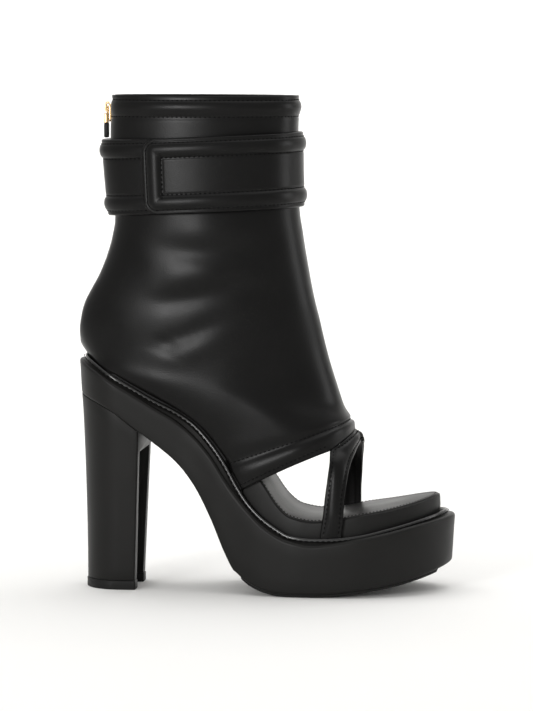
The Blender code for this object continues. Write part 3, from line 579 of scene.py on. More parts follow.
def ring_faces(rings, count, wrap_rows=False):
    faces = []
    last = rings if wrap_rows else rings - 1
    for k in range(last):
        low = k * count
        high = ((k + 1) % rings) * count
        for i in range(count):
            j = (i + 1) % count
            faces.append((low + i, low + j, high + j, high + i))
    return faces


def ring_solid(name, rings, material, has_tip=True, **options):
    count = len(rings[0])
    verts = [point for row in rings for point in row]
    faces = ring_faces(len(rings), count)
    for start in (0, (len(rings) - 1) * count):
        faces.extend(tuple(start + i for i in face) for face in cap_faces(count, has_tip))
    return turn_outward(add_mesh(name, verts, faces, material, **options))


def ring_band(name, rings, material, **options):
    count = len(rings[0])
    verts = [point for row in rings for point in row]
    return turn_outward(add_mesh(name, verts, ring_faces(len(rings), count, True), material, **options))


def grid_faces(rows, columns, start=0):
    faces = []
    for r in range(rows - 1):
        for c in range(columns - 1):
            a = start + r * columns + c
            faces.append((a, a + columns, a + columns + 1, a + 1))
    return faces


def grid_normals(points):
    down = np.gradient(points, axis=0)
    across = np.gradient(points, axis=1)
    normals = np.cross(down, across)
    length = np.linalg.norm(normals, axis=2)[:, :, None]
    return normals / np.maximum(length, 1e-12)


def thicken(item, thickness, inner=None):
    if inner is not None:
        item.data.materials.append(inner)
    wall = item.modifiers.new("wall", "SOLIDIFY")
    wall.thickness = thickness
    wall.offset = -1.0
    wall.use_quality_normals = True
    if inner is not None:
        wall.material_offset = 1
    return item


# Rows of small stitches laid along lines of points with normals.
class Stitches:
    def __init__(self):
        self.verts = []
        self.faces = []

    def run(self, points, normals, pitch=STITCH_PITCH, length=STITCH_LENGTH, radius=STITCH_RADIUS, lift=0.0):
        points = np.array(points, dtype=float)
        normals = np.array(normals, dtype=float)
        steps = np.linalg.norm(np.diff(points, axis=0), axis=1)
        run = np.concatenate([[0.0], np.cumsum(steps)])
        count = int(run[-1] / pitch)
        for k in range(count):
            ends = []
            for place in (k * pitch, k * pitch + length / 2, k * pitch + length):
                ends.append(np.array([np.interp(place, run, points[:, a]) for a in range(3)]))
            normal = np.array([np.interp(k * pitch, run, normals[:, a]) for a in range(3)])
            normal /= max(np.linalg.norm(normal), 1e-9)
            along = ends[2] - ends[0]
            if np.linalg.norm(along) < length * 0.3:
                continue
            along /= np.linalg.norm(along)
            side = np.cross(along, normal)
            self.bead(ends, normal, side, radius, lift)

    def bead(self, ends, normal, side, radius, lift):
        start = len(self.verts)
        centres = [ends[0] * 0.8 + ends[1] * 0.2, ends[1], ends[2] * 0.8 + ends[1] * 0.2]
        sizes = (0.75, 1.0, 0.75)
        raised = (lift, lift + radius * 0.35, lift)
        self.verts.append(ends[0] + normal * (lift - radius * 0.6))
        for centre, size, up in zip(centres, sizes, raised):
            for turn in range(6):
                angle = turn * math.pi / 3
                spread = side * math.cos(angle) + normal * math.sin(angle)
                self.verts.append(centre + normal * up + spread * radius * size)
        self.verts.append(ends[2] + normal * (lift - radius * 0.6))
        for ring_index in range(2):
            for turn in range(6):
                a = start + 1 + ring_index * 6 + turn
                b = start + 1 + ring_index * 6 + (turn + 1) % 6
                self.faces.append((a, b, b + 6, a + 6))
        tail = start + 19
        for turn in range(6):
            self.faces.append((start, start + 1 + (turn + 1) % 6, start + 1 + turn))
            self.faces.append((tail, start + 13 + turn, start + 13 + (turn + 1) % 6))

    def make(self, name, material, slot):
        return turn_outward(add_mesh(name, self.verts, self.faces, material, slot=slot, sharp=80.0))


# Sole pieces

def arc_rings(inset, height, radius, top, steps):
    rings = []
    for k in range(steps + 1):
        angle = math.pi / 2 * k / steps
        go_in = radius * (1 - math.cos(angle))
        go_up = radius * (1 - math.sin(angle))
        if top:
            rings.append(ring(lambda x, g=go_in: inset(x) + g, lambda x, g=go_up: height(x) - g * steepness(x)))
        else:
            rings.append(ring(lambda x, g=go_in: inset(x) + g, lambda x, g=go_up: height(x) + g))
    return rings if top else rings[::-1]


def welt_outer(x):
    return feather_inset(x) - GAP - WELT_WIDTH


def build_platform():
    rings = arc_rings(side_draft, platform_under, FOOT_RADIUS, False, 4)
    for share in (0.3, 0.7):
        rings.append(ring(
            lambda x, s=share: side_draft(x) * (1 - s),
            lambda x, s=share: platform_under(x) * (1 - s) + profile("edge", x) * s,
        ))
    rings.extend(arc_rings(lambda x: 0.0, lambda x: profile("edge", x), EDGE_RADIUS, True, 6))

    def between(share, dip):
        return ring(
            lambda x: EDGE_RADIUS + (welt_outer(x) - GAP - EDGE_RADIUS) * share,
            lambda x: profile("edge", x) * (1 - share) + deck(x) * share - dip,
        )

    rings.append(between(0.45, LEDGE_DIP * 0.6))
    rings.append(between(0.85, LEDGE_DIP))
    rings.append(ring(lambda x: welt_outer(x) + WELT_WIDTH * 0.5, deck))
    return ring_solid("platform_cover", rings, WRAP, nodes=["platform"], slot="platform_black_leather")


def tread_loop(extra):
    loop = inset_loop(lambda x: side_draft(x) + FOOT_RADIUS + TREAD_INSET + extra)
    half = len(STATION_X)
    outer = [p for p in loop[:half] if TREAD_START + extra < p[0] < TREAD_END - extra]
    inner = [p for p in loop[:half - 1:-1] if TREAD_START + extra < p[0] < TREAD_END - extra]
    start = TREAD_START + extra
    outer_y = outer[0][1]
    inner_y = inner[0][1]
    points = [(start, outer_y + TREAD_CORNER), (start + FOOT_RADIUS, outer_y + FOOT_RADIUS)]
    points.extend((p[0], p[1]) for p in outer[2:])
    points.append((TREAD_END - extra, TOE_DRIFT))
    points.extend((p[0], p[1]) for p in reversed(inner[2:]))
    points.append((start + FOOT_RADIUS, inner_y - FOOT_RADIUS))
    points.append((start, inner_y - TREAD_CORNER))
    return points


def build_tread():
    rings = []
    for extra, rise in ((0.0004, 0.0), (0.0001, 0.0001), (0.0, 0.0004), (0.0, TREAD_THICK)):
        rings.append([(x, y, profile("under", x) + rise) for x, y in tread_loop(extra)])
    return ring_solid("tread_sheet", rings, RUBBER, has_tip=False, nodes=["tread"], slot="tread_black_rubber")


def build_welt():
    rings = []
    low = lambda x: deck(x) + GAP * 0.3
    rings.append(ring(welt_outer, low))
    steps = 8
    for k in range(steps + 1):
        angle = math.pi * k / steps
        across = WELT_WIDTH / 2 * (1 - math.cos(angle))
        lift = WELT_HEIGHT * (0.35 + 0.65 * math.sin(angle))
        rings.append(ring(
            lambda x, a=across: welt_outer(x) + a,
            lambda x, g=lift: deck(x) + g * steepness(x),
        ))
    rings.append(ring(lambda x: welt_outer(x) + WELT_WIDTH, low))
    return ring_band("welt_bead", rings, BEAD_LEATHER, nodes=["welt"], slot="welt_black_leather")


def build_footbed():
    top = lambda x: profile("seat", x) - INSOLE_THICK * 0.4
    rings = [ring(footbed_inset, lambda x: deck(x) + GAP * steepness(x))]
    for share in (0.4, 0.8):
        rings.append(ring(
            lambda x, s=share: footbed_inset(x) - 0.0003 * math.sin(math.pi * s),
            lambda x, s=share: deck(x) * (1 - s) + top(x) * s,
        ))
    rings.extend(arc_rings(footbed_inset, top, FOOTBED_ROUND * 0.6, True, 5))
    rings.append(ring(lambda x: footbed_inset(x) + FOOTBED_ROUND * 1.4, lambda x: top(x) - 0.0003))
    return ring_solid("footbed_wrap", rings, BED_LEATHER, nodes=["footbed"], slot="footbed_black_leather")


def build_insole():
    start = lambda x: footbed_inset(x) + INSOLE_INSET
    top = lambda x: profile("seat", x) + GAP
    rings = [ring(lambda x: start(x) + FOOTBED_ROUND * 0.4, lambda x: top(x) - INSOLE_THICK + GAP)]
    rings.extend(arc_rings(start, top, 0.0006, True, 4))
    rings.append(ring(lambda x: start(x) + 0.0022, lambda x: top(x) + 0.00005))
    rings.append(ring(lambda x: start(x) + 0.0032, lambda x: top(x) - 0.0002))
    rings.append(ring(lambda x: start(x) + 0.0042, lambda x: top(x) + 0.00008))
    return ring_solid("insole_sock", rings, SOCK, nodes=["insole"], slot="insole_grey_satin")


def heel_plan():
    half = len(STATION_X)
    full = BREAST - BREAST_CORNER
    outer = [(x, y) for x, y in PLAN_LOOP[:half] if x <= full + GAP * 0.1]
    side = outer[-1][1]
    corner = []
    for k in range(1, 5):
        angle = math.pi / 2 * k / 4
        corner.append((full + BREAST_CORNER * math.sin(angle), side + BREAST_CORNER * (1 - math.cos(angle))))
    inner = [(x, -y) for x, y in outer[:0:-1]]
    far = [(x, -y) for x, y in reversed(corner)]
    return np.array(outer + corner + far + inner)


HEEL_PLAN = heel_plan()
HEEL_END_SPAN = 2 * abs(plan_side(BREAST - BREAST_CORNER, -1))


def heel_ring(share, height, proud=0.0):
    bow = math.sin(share * math.pi / 2) ** HEEL_BACK_BOW
    back = HEEL_BACK_TOP + (HEEL_BACK_BOTTOM - HEEL_BACK_TOP) * bow - proud
    breast = BREAST + (BREAST_BOTTOM - BREAST) * share + proud
    width = HEEL_WIDTH + (HEEL_BOTTOM_WIDTH - HEEL_WIDTH) * share + 2 * proud
    points = []
    for x, y in HEEL_PLAN:
        place = back + (breast - back) * x / BREAST
        points.append((place, y * width / HEEL_END_SPAN, height(place)))
    return points


def channel_ring(height, width):
    inner = BREAST_BOTTOM - CHANNEL_DEPTH
    outer = BREAST + CUTTER_PAST
    half = width / 2
    bend = []
    for k in range(6):
        angle = math.pi / 2 * k / 5
        bend.append((inner + CHANNEL_CORNER * (1 - math.cos(angle)), -half + CHANNEL_CORNER * (1 - math.sin(angle))))
    plan = bend + [(outer, -half), (outer, half)] + [(x, -y) for x, y in reversed(bend)]
    return [(x, y, height) for x, y in plan]


def cut_channel(item):
    rings = [
        channel_ring(-CUTTER_PAST, CHANNEL_BOTTOM_WIDTH),
        channel_ring(0.0, CHANNEL_BOTTOM_WIDTH),
        channel_ring(CHANNEL_TOP, CHANNEL_TOP_WIDTH),
    ]
    cutter = ring_solid("channel_shape", rings, WRAP, has_tip=False)
    cut = item.modifiers.new("channel", "BOOLEAN")
    cut.operation = "DIFFERENCE"
    cut.solver = "EXACT"
    cut.object = cutter
    soften = item.modifiers.new("soft_edges", "BEVEL")
    soften.width = 0.0004
    soften.segments = 3
    soften.limit_method = "ANGLE"
    soften.angle_limit = math.radians(40)
    bpy.context.view_layer.update()
    finished = bpy.data.meshes.new_from_object(item.evaluated_get(bpy.context.evaluated_depsgraph_get()))
    item.modifiers.clear()
    item.data = finished
    item.data.shade_smooth()
    item.data.set_sharp_from_angle(angle=math.radians(35))
    bpy.data.objects.remove(cutter)
    return item


def build_heel():
    bottom = LIFT_THICK + GAP
    rings = []
    for share in np.linspace(0.0, 1.0, 15):
        rings.append(heel_ring(share, lambda x, s=share: (profile("under", x) - GAP) * (1 - s) + bottom * s))
    heel = ring_solid("heel_cover", rings, WRAP, nodes=["heel"], slot="heel_black_leather")
    cut_channel(heel)
    rings = [
        heel_ring(1.0, lambda x: 0.0, LIFT_PROUD - 0.0004),
        heel_ring(1.0, lambda x: 0.0002, LIFT_PROUD - 0.0001),
        heel_ring(1.0, lambda x: 0.0005, LIFT_PROUD),
        heel_ring(1.0, lambda x: LIFT_THICK - 0.0004, LIFT_PROUD),
        heel_ring(1.0, lambda x: LIFT_THICK, LIFT_PROUD - 0.0003),
    ]
    lift = ring_solid("heel_lift", rings, LIFT_RUBBER, nodes=["top_lift"], slot="top_lift_black_rubber")
    cut_channel(lift)


# Upper

def half_row(front, back, half, end, side, places):
    points = []
    for k in places:
        angle = math.pi * k / SIDE_STEPS
        along = (1 - math.cos(angle)) / 2
        sweep = abs(math.sin(angle))
        if angle <= math.pi / 2:
            out = half * sweep ** ROW_FULLNESS
        else:
            out = end + (half - end) * sweep ** ROW_FULLNESS
        x = front[0] + (back[0] - front[0]) * along
        z = front[1] + (back[1] - front[1]) * along
        points.append((x, side * out, z))
    return points


def row_places():
    places = list(np.linspace(0, SIDE_STEPS, HALF_SAMPLES))
    return places


ROW_PLACES = row_places()


def crotch_drop(step):
    if step < CROTCH_STEP:
        return CROTCH_DROP * step / CROTCH_STEP
    left = max((SIDE_STEPS - step) / (SIDE_STEPS - CROTCH_STEP), 0.0)
    return CROTCH_DROP * left ** CROTCH_FADE


def lower_edge(index, points, places):
    if index < EDGE_ROW:
        return points
    return [(x, y, z - crotch_drop(step)) for step, (x, y, z) in zip(places, points)]


def full_row(index):
    halves = []
    for side in (-1, 1):
        if index < len(SHAFT_ROWS):
            row = SHAFT_ROWS[index]
            slit = ZIP_SLIT / 2 if index < SLIT_ROWS else 0.0
            front = (row[0] * PLATFORM_LENGTH, level(row[1]))
            back = (row[2] * PLATFORM_LENGTH, level(row[3]))
            points = half_row(front, back, row[4] * SHAFT_WIDTH, slit + ZIP_FACING, side, ROW_PLACES)
            end = (back[0], side * slit, back[1])
        else:
            row = VAMP_ROWS[index - len(SHAFT_ROWS)]
            foot = row[2] * PLATFORM_LENGTH
            base = deck(foot) + VAMP_CLEAR * steepness(foot)
            width = abs(feather_side(foot, side))
            front = (row[0] * PLATFORM_LENGTH, level(row[1]))
            back = (foot, base + FEATHER_RISE * steepness(foot))
            points = half_row(front, back, row[3] * SHAFT_WIDTH, width, side, ROW_PLACES)
            points = lower_edge(index, points, ROW_PLACES)
            end = (foot, side * width, base)
        last = np.array(points[-1])
        for share in (0.35, 0.7, 1.0):
            points.append(tuple(last * (1 - share) + np.array(end) * share))
        halves.append(points)
    return halves[0][::-1] + halves[1][1:]


def row_samples():
    places = []
    for index, slices in enumerate(ROW_SLICES):
        places.extend(index + k / slices for k in range(slices))
    places.append(len(ROW_SLICES))
    return np.array(places)


def soft_line(points, line):
    distance = np.full(points.shape[:-1], 1.0)
    share = np.zeros(points.shape[:-1])
    total = len(line) - 1
    for i in range(total):
        a = np.array(line[i])
        b = np.array(line[i + 1])
        along = b - a
        t = np.clip(((points - a) @ along) / (along @ along), 0, 1)
        d = np.linalg.norm(points - (a + t[..., None] * along), axis=-1)
        closer = d < distance
        distance = np.where(closer, d, distance)
        share = np.where(closer, (i + t) / total, share)
    return distance, share


# Creases on the sides of the shaft. Each: side, depth, width, points along X and Z.
CREASES = (
    (-1, -0.0011, 0.0060, ((0.046, 0.166), (0.070, 0.170), (0.094, 0.176), (0.112, 0.174))),
    (-1, 0.0010, 0.0080, ((0.052, 0.180), (0.072, 0.184), (0.092, 0.183))),
    (-1, -0.0008, 0.0045, ((0.046, 0.142), (0.066, 0.148), (0.088, 0.158))),
    (-1, 0.0006, 0.0060, ((0.050, 0.134), (0.070, 0.139), (0.092, 0.148))),
    (-1, -0.0005, 0.0030, ((0.050, 0.146), (0.056, 0.142), (0.062, 0.139))),
    (-1, -0.0004, 0.0022, ((0.048, 0.141), (0.055, 0.138), (0.060, 0.134))),
    (-1, 0.0007, 0.0090, ((0.060, 0.208), (0.085, 0.206), (0.105, 0.208))),
    (-1, -0.0006, 0.0060, ((0.050, 0.198), (0.074, 0.196), (0.100, 0.199))),
    (1, -0.0010, 0.0060, ((0.044, 0.170), (0.068, 0.172), (0.096, 0.178))),
    (1, 0.0009, 0.0080, ((0.050, 0.184), (0.074, 0.186), (0.098, 0.186))),
    (1, -0.0007, 0.0050, ((0.044, 0.146), (0.064, 0.150), (0.090, 0.160))),
    (1, -0.0005, 0.0055, ((0.050, 0.200), (0.074, 0.198), (0.100, 0.201))),
)


def crease_push(points):
    flat = points[..., [0, 2]]
    push = np.zeros(points.shape[:-1])
    for side, depth, width, line in CREASES:
        distance, share = soft_line(flat, line)
        taper = np.sin(np.pi * np.clip(share * 0.9 + 0.05, 0, 1)) ** 0.7
        near = np.clip(side * points[..., 1] / 0.012, 0, 1)
        push += depth * np.exp(-(distance / width) ** 2) * taper * near
    return push


def soft_waves(points, scale, seed):
    waves = np.zeros(points.shape[:-1])
    for index in np.ndindex(waves.shape):
        p = points[index]
        waves[index] = noise.noise(Vector((p[0] / scale + seed, p[1] / scale, p[2] / scale)))
    return waves


def groove(distance, width):
    return np.exp(-(distance / width) ** 2)


# Evens out the rows where the closed shaft turns into the open vamp.
def relaxed(points, places):
    rows = np.array([smooth_step(9.5, 14.0, p) * (1 - smooth_step(24.0, 28.0, p)) for p in places])
    count = points.shape[1]
    from_end = np.minimum(np.arange(count), count - 1 - np.arange(count))
    columns = np.clip((from_end - 3) / 8.0, 0, 1)
    weight = 0.5 * rows[1:-1, None, None] * columns[None, :, None]
    points = points.copy()
    for _ in range(160):
        points[1:-1] += weight * ((points[:-2] + points[2:]) / 2 - points[1:-1])
    return points


def build_upper():
    rows = np.array([full_row(i) for i in range(len(SHAFT_ROWS) + len(VAMP_ROWS))])
    places = row_samples()
    count = rows.shape[1]
    flat = shape_keeping(np.arange(len(rows), dtype=float), rows.reshape(len(rows), -1), places)
    points = relaxed(flat.reshape(len(places), count, 3), places)
    normals = grid_normals(points)
    if normals[4, count // 2][0] < 0:
        normals = -normals
    row_place = places[:, None]
    push = np.zeros(points.shape[:2])
    run = np.cumsum(np.concatenate([[0.0], np.linalg.norm(np.diff(points[:, count // 2 + 20], axis=0), axis=1)]))
    for seam in COLLAR_SEAMS:
        here = np.interp(seam, places, run)
        push -= 0.0005 * groove(run - here, 0.0008)[:, None]
    band_run = np.cumsum(np.concatenate([[0.0], np.linalg.norm(np.diff(points[:, count // 2], axis=0), axis=1)]))
    band_here = np.interp(BAND_ROW, places, band_run)
    push -= (0.0007 * groove(band_run - band_here, 0.0009))[:, None]
    facing = np.abs(points[..., 1]) - (ZIP_SLIT / 2 + ZIP_FACING * 1.1)
    back = (points[..., 0] < 0.040) & (row_place < SLIT_ROWS)
    push -= np.where(back, 0.0004 * groove(facing, 0.0007), 0.0)
    inside_span = np.clip((row_place - 4.0) / 2.0, 0, 1) * np.clip((BAND_ROW - 1 - row_place) / 2.0, 0, 1)
    edge_fade = np.clip((HALF_SAMPLES + 2 - np.abs(np.arange(count) - count // 2)) / 6.0, 0, 1)[None, :]
    push += crease_push(points) * inside_span * edge_fade
    push += 0.00035 * soft_waves(points, 0.022, 3.0) * inside_span * edge_fade
    points = points + normals * push[..., None]
    faces = grid_faces(len(places), count)
    skin = add_mesh(
        "upper_leather", points.reshape(-1, 3), faces, SATIN,
        nodes=["upper"], slot="upper_black_satin", sharp=60.0,
    )
    data = bmesh.new()
    data.from_mesh(skin.data)
    bmesh.ops.remove_doubles(data, verts=data.verts, dist=0.00002)
    data.to_mesh(skin.data)
    data.free()
    face = skin.data.polygons[len(skin.data.polygons) // 3]
    middle = Vector((0.073, 0.0, face.center.z)) + OFFSET
    if face.normal.dot(face.center - middle) < 0:
        skin.data.flip_normals()
    thicken(skin, UPPER_WALL, LINING)
    return points, normals, places


def row_index(places, place):
    return int(np.argmin(np.abs(places - place)))


def stitch_upper(stitches, points, normals, places):
    count = points.shape[1]
    middle = count // 2
    reach = HALF_SAMPLES - 3
    for seam in COLLAR_SEAMS:
        r = row_index(places, seam)
        for side in (-1, 1):
            cols = [middle + side * c for c in range(0, reach + 1)]
            stitches.run(points[r, cols], normals[r, cols])
    r = row_index(places, BAND_ROW)
    low = row_index(places, EDGE_ROW - 0.34)
    for side in (-1, 1):
        cols = [middle + side * c for c in range(0, HALF_SAMPLES + 1)]
        stitches.run(points[r, cols], normals[r, cols])
        start = int(CROTCH_STEP * HALF_SAMPLES / SIDE_STEPS) + 1
        cols = [middle + side * c for c in range(start, HALF_SAMPLES + 1)]
        stitches.run(points[low, cols], normals[low, cols])
    rows = [i for i in range(len(places)) if places[i] < SLIT_ROWS - 1]
    for side in (-1, 1):
        line = []
        out = []
        for i in rows:
            ys = side * points[i, [middle + side * c for c in range(20, HALF_SAMPLES + 3)], 1]
            target = ZIP_SLIT / 2 + ZIP_FACING * 1.1
            k = 20 + int(np.argmin(np.abs(ys - target)))
            line.append(points[i, middle + side * k])
            out.append(normals[i, middle + side * k])
        stitches.run(line, out)


# Forefoot strap over the toes

def strap_point(row, side):
    shift = STRAP_INNER_SHIFT * (1 - row[1]) if side > 0 else 0.0
    return (row[0] * PLATFORM_LENGTH + shift, side * row[2] * FOREFOOT_WIDTH, row[1] * SEAT_HEIGHT)


def strap_foot(share, side):
    x = share * PLATFORM_LENGTH + (STRAP_INNER_SHIFT if side > 0 else 0.0)
    base = deck(x) + GAP
    y = feather_side(x, side)
    return [(x, y, base + FEATHER_RISE), (x, y, base)]


def strap_line(first, second, turn_at):
    points = first + second
    gaps = np.linalg.norm(np.diff(np.array(points), axis=0), axis=1)
    run = np.concatenate([[0.0], np.cumsum(gaps)])
    return np.array(points), run / run[-1]


def build_forefoot_strap(stitches):
    edge = np.array(VAMP_ROWS[-1])
    front = (edge[0] * PLATFORM_LENGTH, level(edge[1]))
    foot = edge[2] * PLATFORM_LENGTH
    base = deck(foot) + VAMP_CLEAR * steepness(foot) + FEATHER_RISE * steepness(foot)
    slices = 64
    across = 14
    lines = {}
    for side in (-1, 1):
        width = abs(feather_side(foot, side))
        steps = range(CROTCH_STEP + 1)
        shared = half_row(front, (foot, base), edge[3] * SHAFT_WIDTH, width, side, steps)
        shared = lower_edge(EDGE_ROW, shared, steps)
        rears = shared + [strap_point(row, side) for row in STRAP_REAR] + strap_foot(STRAP_FOOT_REAR, side)
        fronts = [strap_point(row, side) for row in STRAP_FRONT] + strap_foot(STRAP_FOOT_FRONT, side)
        knots = np.arange(len(rears), dtype=float)
        places = np.linspace(0, len(rears) - 1, slices)
        lines[side] = (
            shape_keeping(knots, np.array(rears), places),
            shape_keeping(knots, np.array(fronts), places),
        )
    rear = np.vstack([lines[-1][0][:0:-1], lines[1][0]])
    fore = np.vstack([lines[-1][1][:0:-1], lines[1][1]])
    shares = np.linspace(0, 1, across + 1)
    grid = rear[None] * (1 - shares)[:, None, None] + fore[None] * shares[:, None, None]
    normals = grid_normals(grid)
    if normals[across // 2, len(rear) // 2][2] < 0:
        normals = -normals
    width = np.linalg.norm(fore - rear, axis=1)[None, :] * np.ones((across + 1, 1))
    from_rear = shares[:, None] * width
    from_fore = (1 - shares)[:, None] * width
    near = np.minimum(from_rear, from_fore)
    dome = np.sin(np.pi * shares)[:, None] ** 1.5 * np.ones_like(width)
    foot_fade = np.clip((slices - 3 - np.abs(np.arange(len(rear)) - len(rear) // 2)) / 12.0, 0, 1)[None, :]
    push = 0.0006 + STRAP_RIDGE * 1.5 * dome * foot_fade
    push -= 0.0005 * groove(near - 0.0019, 0.0007)
    push -= 0.0005 * groove(near, 0.0006)
    points = grid + normals * push[..., None]
    rows, columns = points.shape[:2]
    strap = add_mesh(
        "forefoot_strap", points.reshape(-1, 3), grid_faces(rows, columns), SATIN,
        slot="upper_black_satin", sharp=60.0,
    )
    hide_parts("upper")
    middle = strap.data.polygons[len(strap.data.polygons) // 2]
    if middle.normal.z < 0:
        strap.data.flip_normals()
    thicken(strap, UPPER_WALL, LINING)
    for side in (-1, 1):
        half = len(rear) // 2
        cols = [half + side * c for c in range(0, half)]
        for edge_from in ("rear", "fore"):
            line = []
            out = []
            for c in cols:
                share = min(0.0019 / max(width[0, c], 0.004), 0.4)
                share = share if edge_from == "rear" else 1 - share
                r = share * across
                low = int(r)
                part = r - low
                high = min(low + 1, across)
                line.append(points[low, c] * (1 - part) + points[high, c] * part)
                out.append(normals[low, c])
            stitches.run(line, out)


# Ankle strap

ROW_FRONT_LEVELS = [level(row[1]) for row in SHAFT_ROWS[::-1]]
ROW_BACK_LEVELS = [level(row[3]) for row in SHAFT_ROWS[::-1]]
ROW_FRONTS = [row[0] * PLATFORM_LENGTH for row in SHAFT_ROWS[::-1]]
ROW_BACKS = [row[2] * PLATFORM_LENGTH for row in SHAFT_ROWS[::-1]]
ROW_HALVES = [row[4] * SHAFT_WIDTH for row in SHAFT_ROWS[::-1]]


def shaft_at(height):
    front = np.interp(height, ROW_FRONT_LEVELS, ROW_FRONTS)
    back = np.interp(height, ROW_BACK_LEVELS, ROW_BACKS)
    half = np.interp(height, ROW_BACK_LEVELS, ROW_HALVES)
    return front, back, half


def strap_base(turn, share):
    angle = math.radians(turn)
    side_angle = math.degrees(math.acos(math.cos(angle)))
    back_share = (1 - math.cos(angle)) / 2
    drop = ANKLE_STRAP_FRONT_DROP + (ANKLE_STRAP_BACK_DROP - ANKLE_STRAP_FRONT_DROP) * back_share
    tall = ANKLE_STRAP_FRONT_HEIGHT + (ANKLE_STRAP_BACK_HEIGHT - ANKLE_STRAP_FRONT_HEIGHT) * back_share
    height = COLLAR_RIM - drop - tall * (1 - share)
    front, back, half = shaft_at(height)
    x = front + (back - front) * back_share
    blend = smooth_step(0.0, 0.25, -math.cos(angle))
    end = (ZIP_SLIT / 2 + ZIP_FACING) * blend
    sine = math.sin(angle)
    soft = math.tanh(sine * 12)
    y = end * soft + math.copysign((half - end) * abs(sine) ** 0.92, sine)
    normal = Vector((math.cos(angle) / (front - back) * 2, sine / half, 0.0)).normalized()
    slack = ANKLE_STRAP_LOW_SLACK + (ANKLE_STRAP_TOP_SLACK - ANKLE_STRAP_LOW_SLACK) * share
    slack *= smooth_step(SLACK_START, SLACK_END, side_angle)
    layer = (ANKLE_STRAP_THICK + LAYER_CLEAR) * smooth_step(LAYER_RAMP_START, LAYER_RAMP_END, turn - 360)
    out = ANKLE_STRAP_CLEAR + ANKLE_STRAP_THICK + slack + layer
    return (x + normal.x * out, -y - normal.y * out, height), tall


STRAP_SEAM = 0.0023
STRAP_INNER_SEAM = 0.0110


def strap_swell(distance):
    inside = (distance - STRAP_SEAM) / (STRAP_INNER_SEAM - STRAP_SEAM)
    swell = 0.0
    if 0 < inside < 1:
        swell = ANKLE_STRAP_BEAD * 1.15 * math.sin(math.pi * inside) ** 0.75
    rim = -0.0008 * math.exp(-(distance / 0.0007) ** 2)
    seams = math.exp(-((distance - STRAP_SEAM) / 0.0007) ** 2) + math.exp(-((distance - STRAP_INNER_SEAM) / 0.0007) ** 2)
    return swell + rim - 0.0005 * seams


def strap_distance(left, rise, tall):
    side = min(rise, tall - rise)
    if left < TAB_CORNER and side < TAB_CORNER:
        return TAB_CORNER - math.hypot(TAB_CORNER - left, TAB_CORNER - side)
    return min(left, side)


def build_ankle_strap(stitches):
    start = UNDER_END_ANGLE
    end = 360 + TAB_ANGLE
    girth = TAB_TURN_RADIUS
    lengths = np.concatenate([
        np.linspace(0, 0.016, 22)[:-1],
        np.linspace(0.016, math.radians(end - start) * girth, 190),
    ])
    shares = sorted(set(np.round(np.concatenate([
        np.linspace(0, 1, 25), np.linspace(0.02, 0.30, 15), np.linspace(0.70, 0.98, 15),
    ]), 4)))
    grid = []
    swell = []
    for left in lengths:
        turn = end - math.degrees(left / girth)
        cut = 0.0
        if left < TAB_CORNER:
            cut = TAB_CORNER - math.sqrt(max(TAB_CORNER ** 2 - (TAB_CORNER - left) ** 2, 0.0))
        row = []
        push = []
        for share in shares:
            base, tall = strap_base(turn, 0.5)
            place = cut / tall + (1 - 2 * cut / tall) * share
            point, tall = strap_base(turn, place)
            row.append(point)
            push.append(strap_swell(strap_distance(left, place * tall, tall)))
        grid.append(row)
        swell.append(push)
    points = np.array(grid)
    normals = grid_normals(points)
    middle = len(shares) // 2
    probe = int(len(lengths) * 0.5)
    centre = np.array([0.073, 0.0, points[probe, middle, 2]])
    if np.dot(normals[probe, middle], points[probe, middle] - centre) < 0:
        normals = -normals
    points = points + normals * np.array(swell)[..., None]
    rows, columns = points.shape[:2]
    strap = add_mesh(
        "ankle_strap_leather", points.reshape(-1, 3), grid_faces(rows, columns), SATIN_STRAP,
        nodes=["ankle_strap"], slot="ankle_strap_black_satin", sharp=60.0,
    )
    face = strap.data.polygons[len(strap.data.polygons) // 2]
    if face.normal.dot(face.center - (Vector((0.073, 0.0, face.center.z)) + OFFSET)) < 0:
        strap.data.flip_normals()
    thicken(strap, ANKLE_STRAP_THICK, LINING)
    tall = ANKLE_STRAP_FRONT_HEIGHT
    for seam in (STRAP_SEAM, STRAP_INNER_SEAM):
        columns_at = [int(np.argmin(np.abs(np.array(shares) - place))) for place in (seam / tall, 1 - seam / tall)]
        first = int(np.argmin(np.abs(lengths - max(TAB_CORNER, seam))))
        for c in columns_at:
            stitches.run(points[first:, c], normals[first:, c])
        stitch_tab_end(stitches, points, normals, lengths, shares, seam, tall)


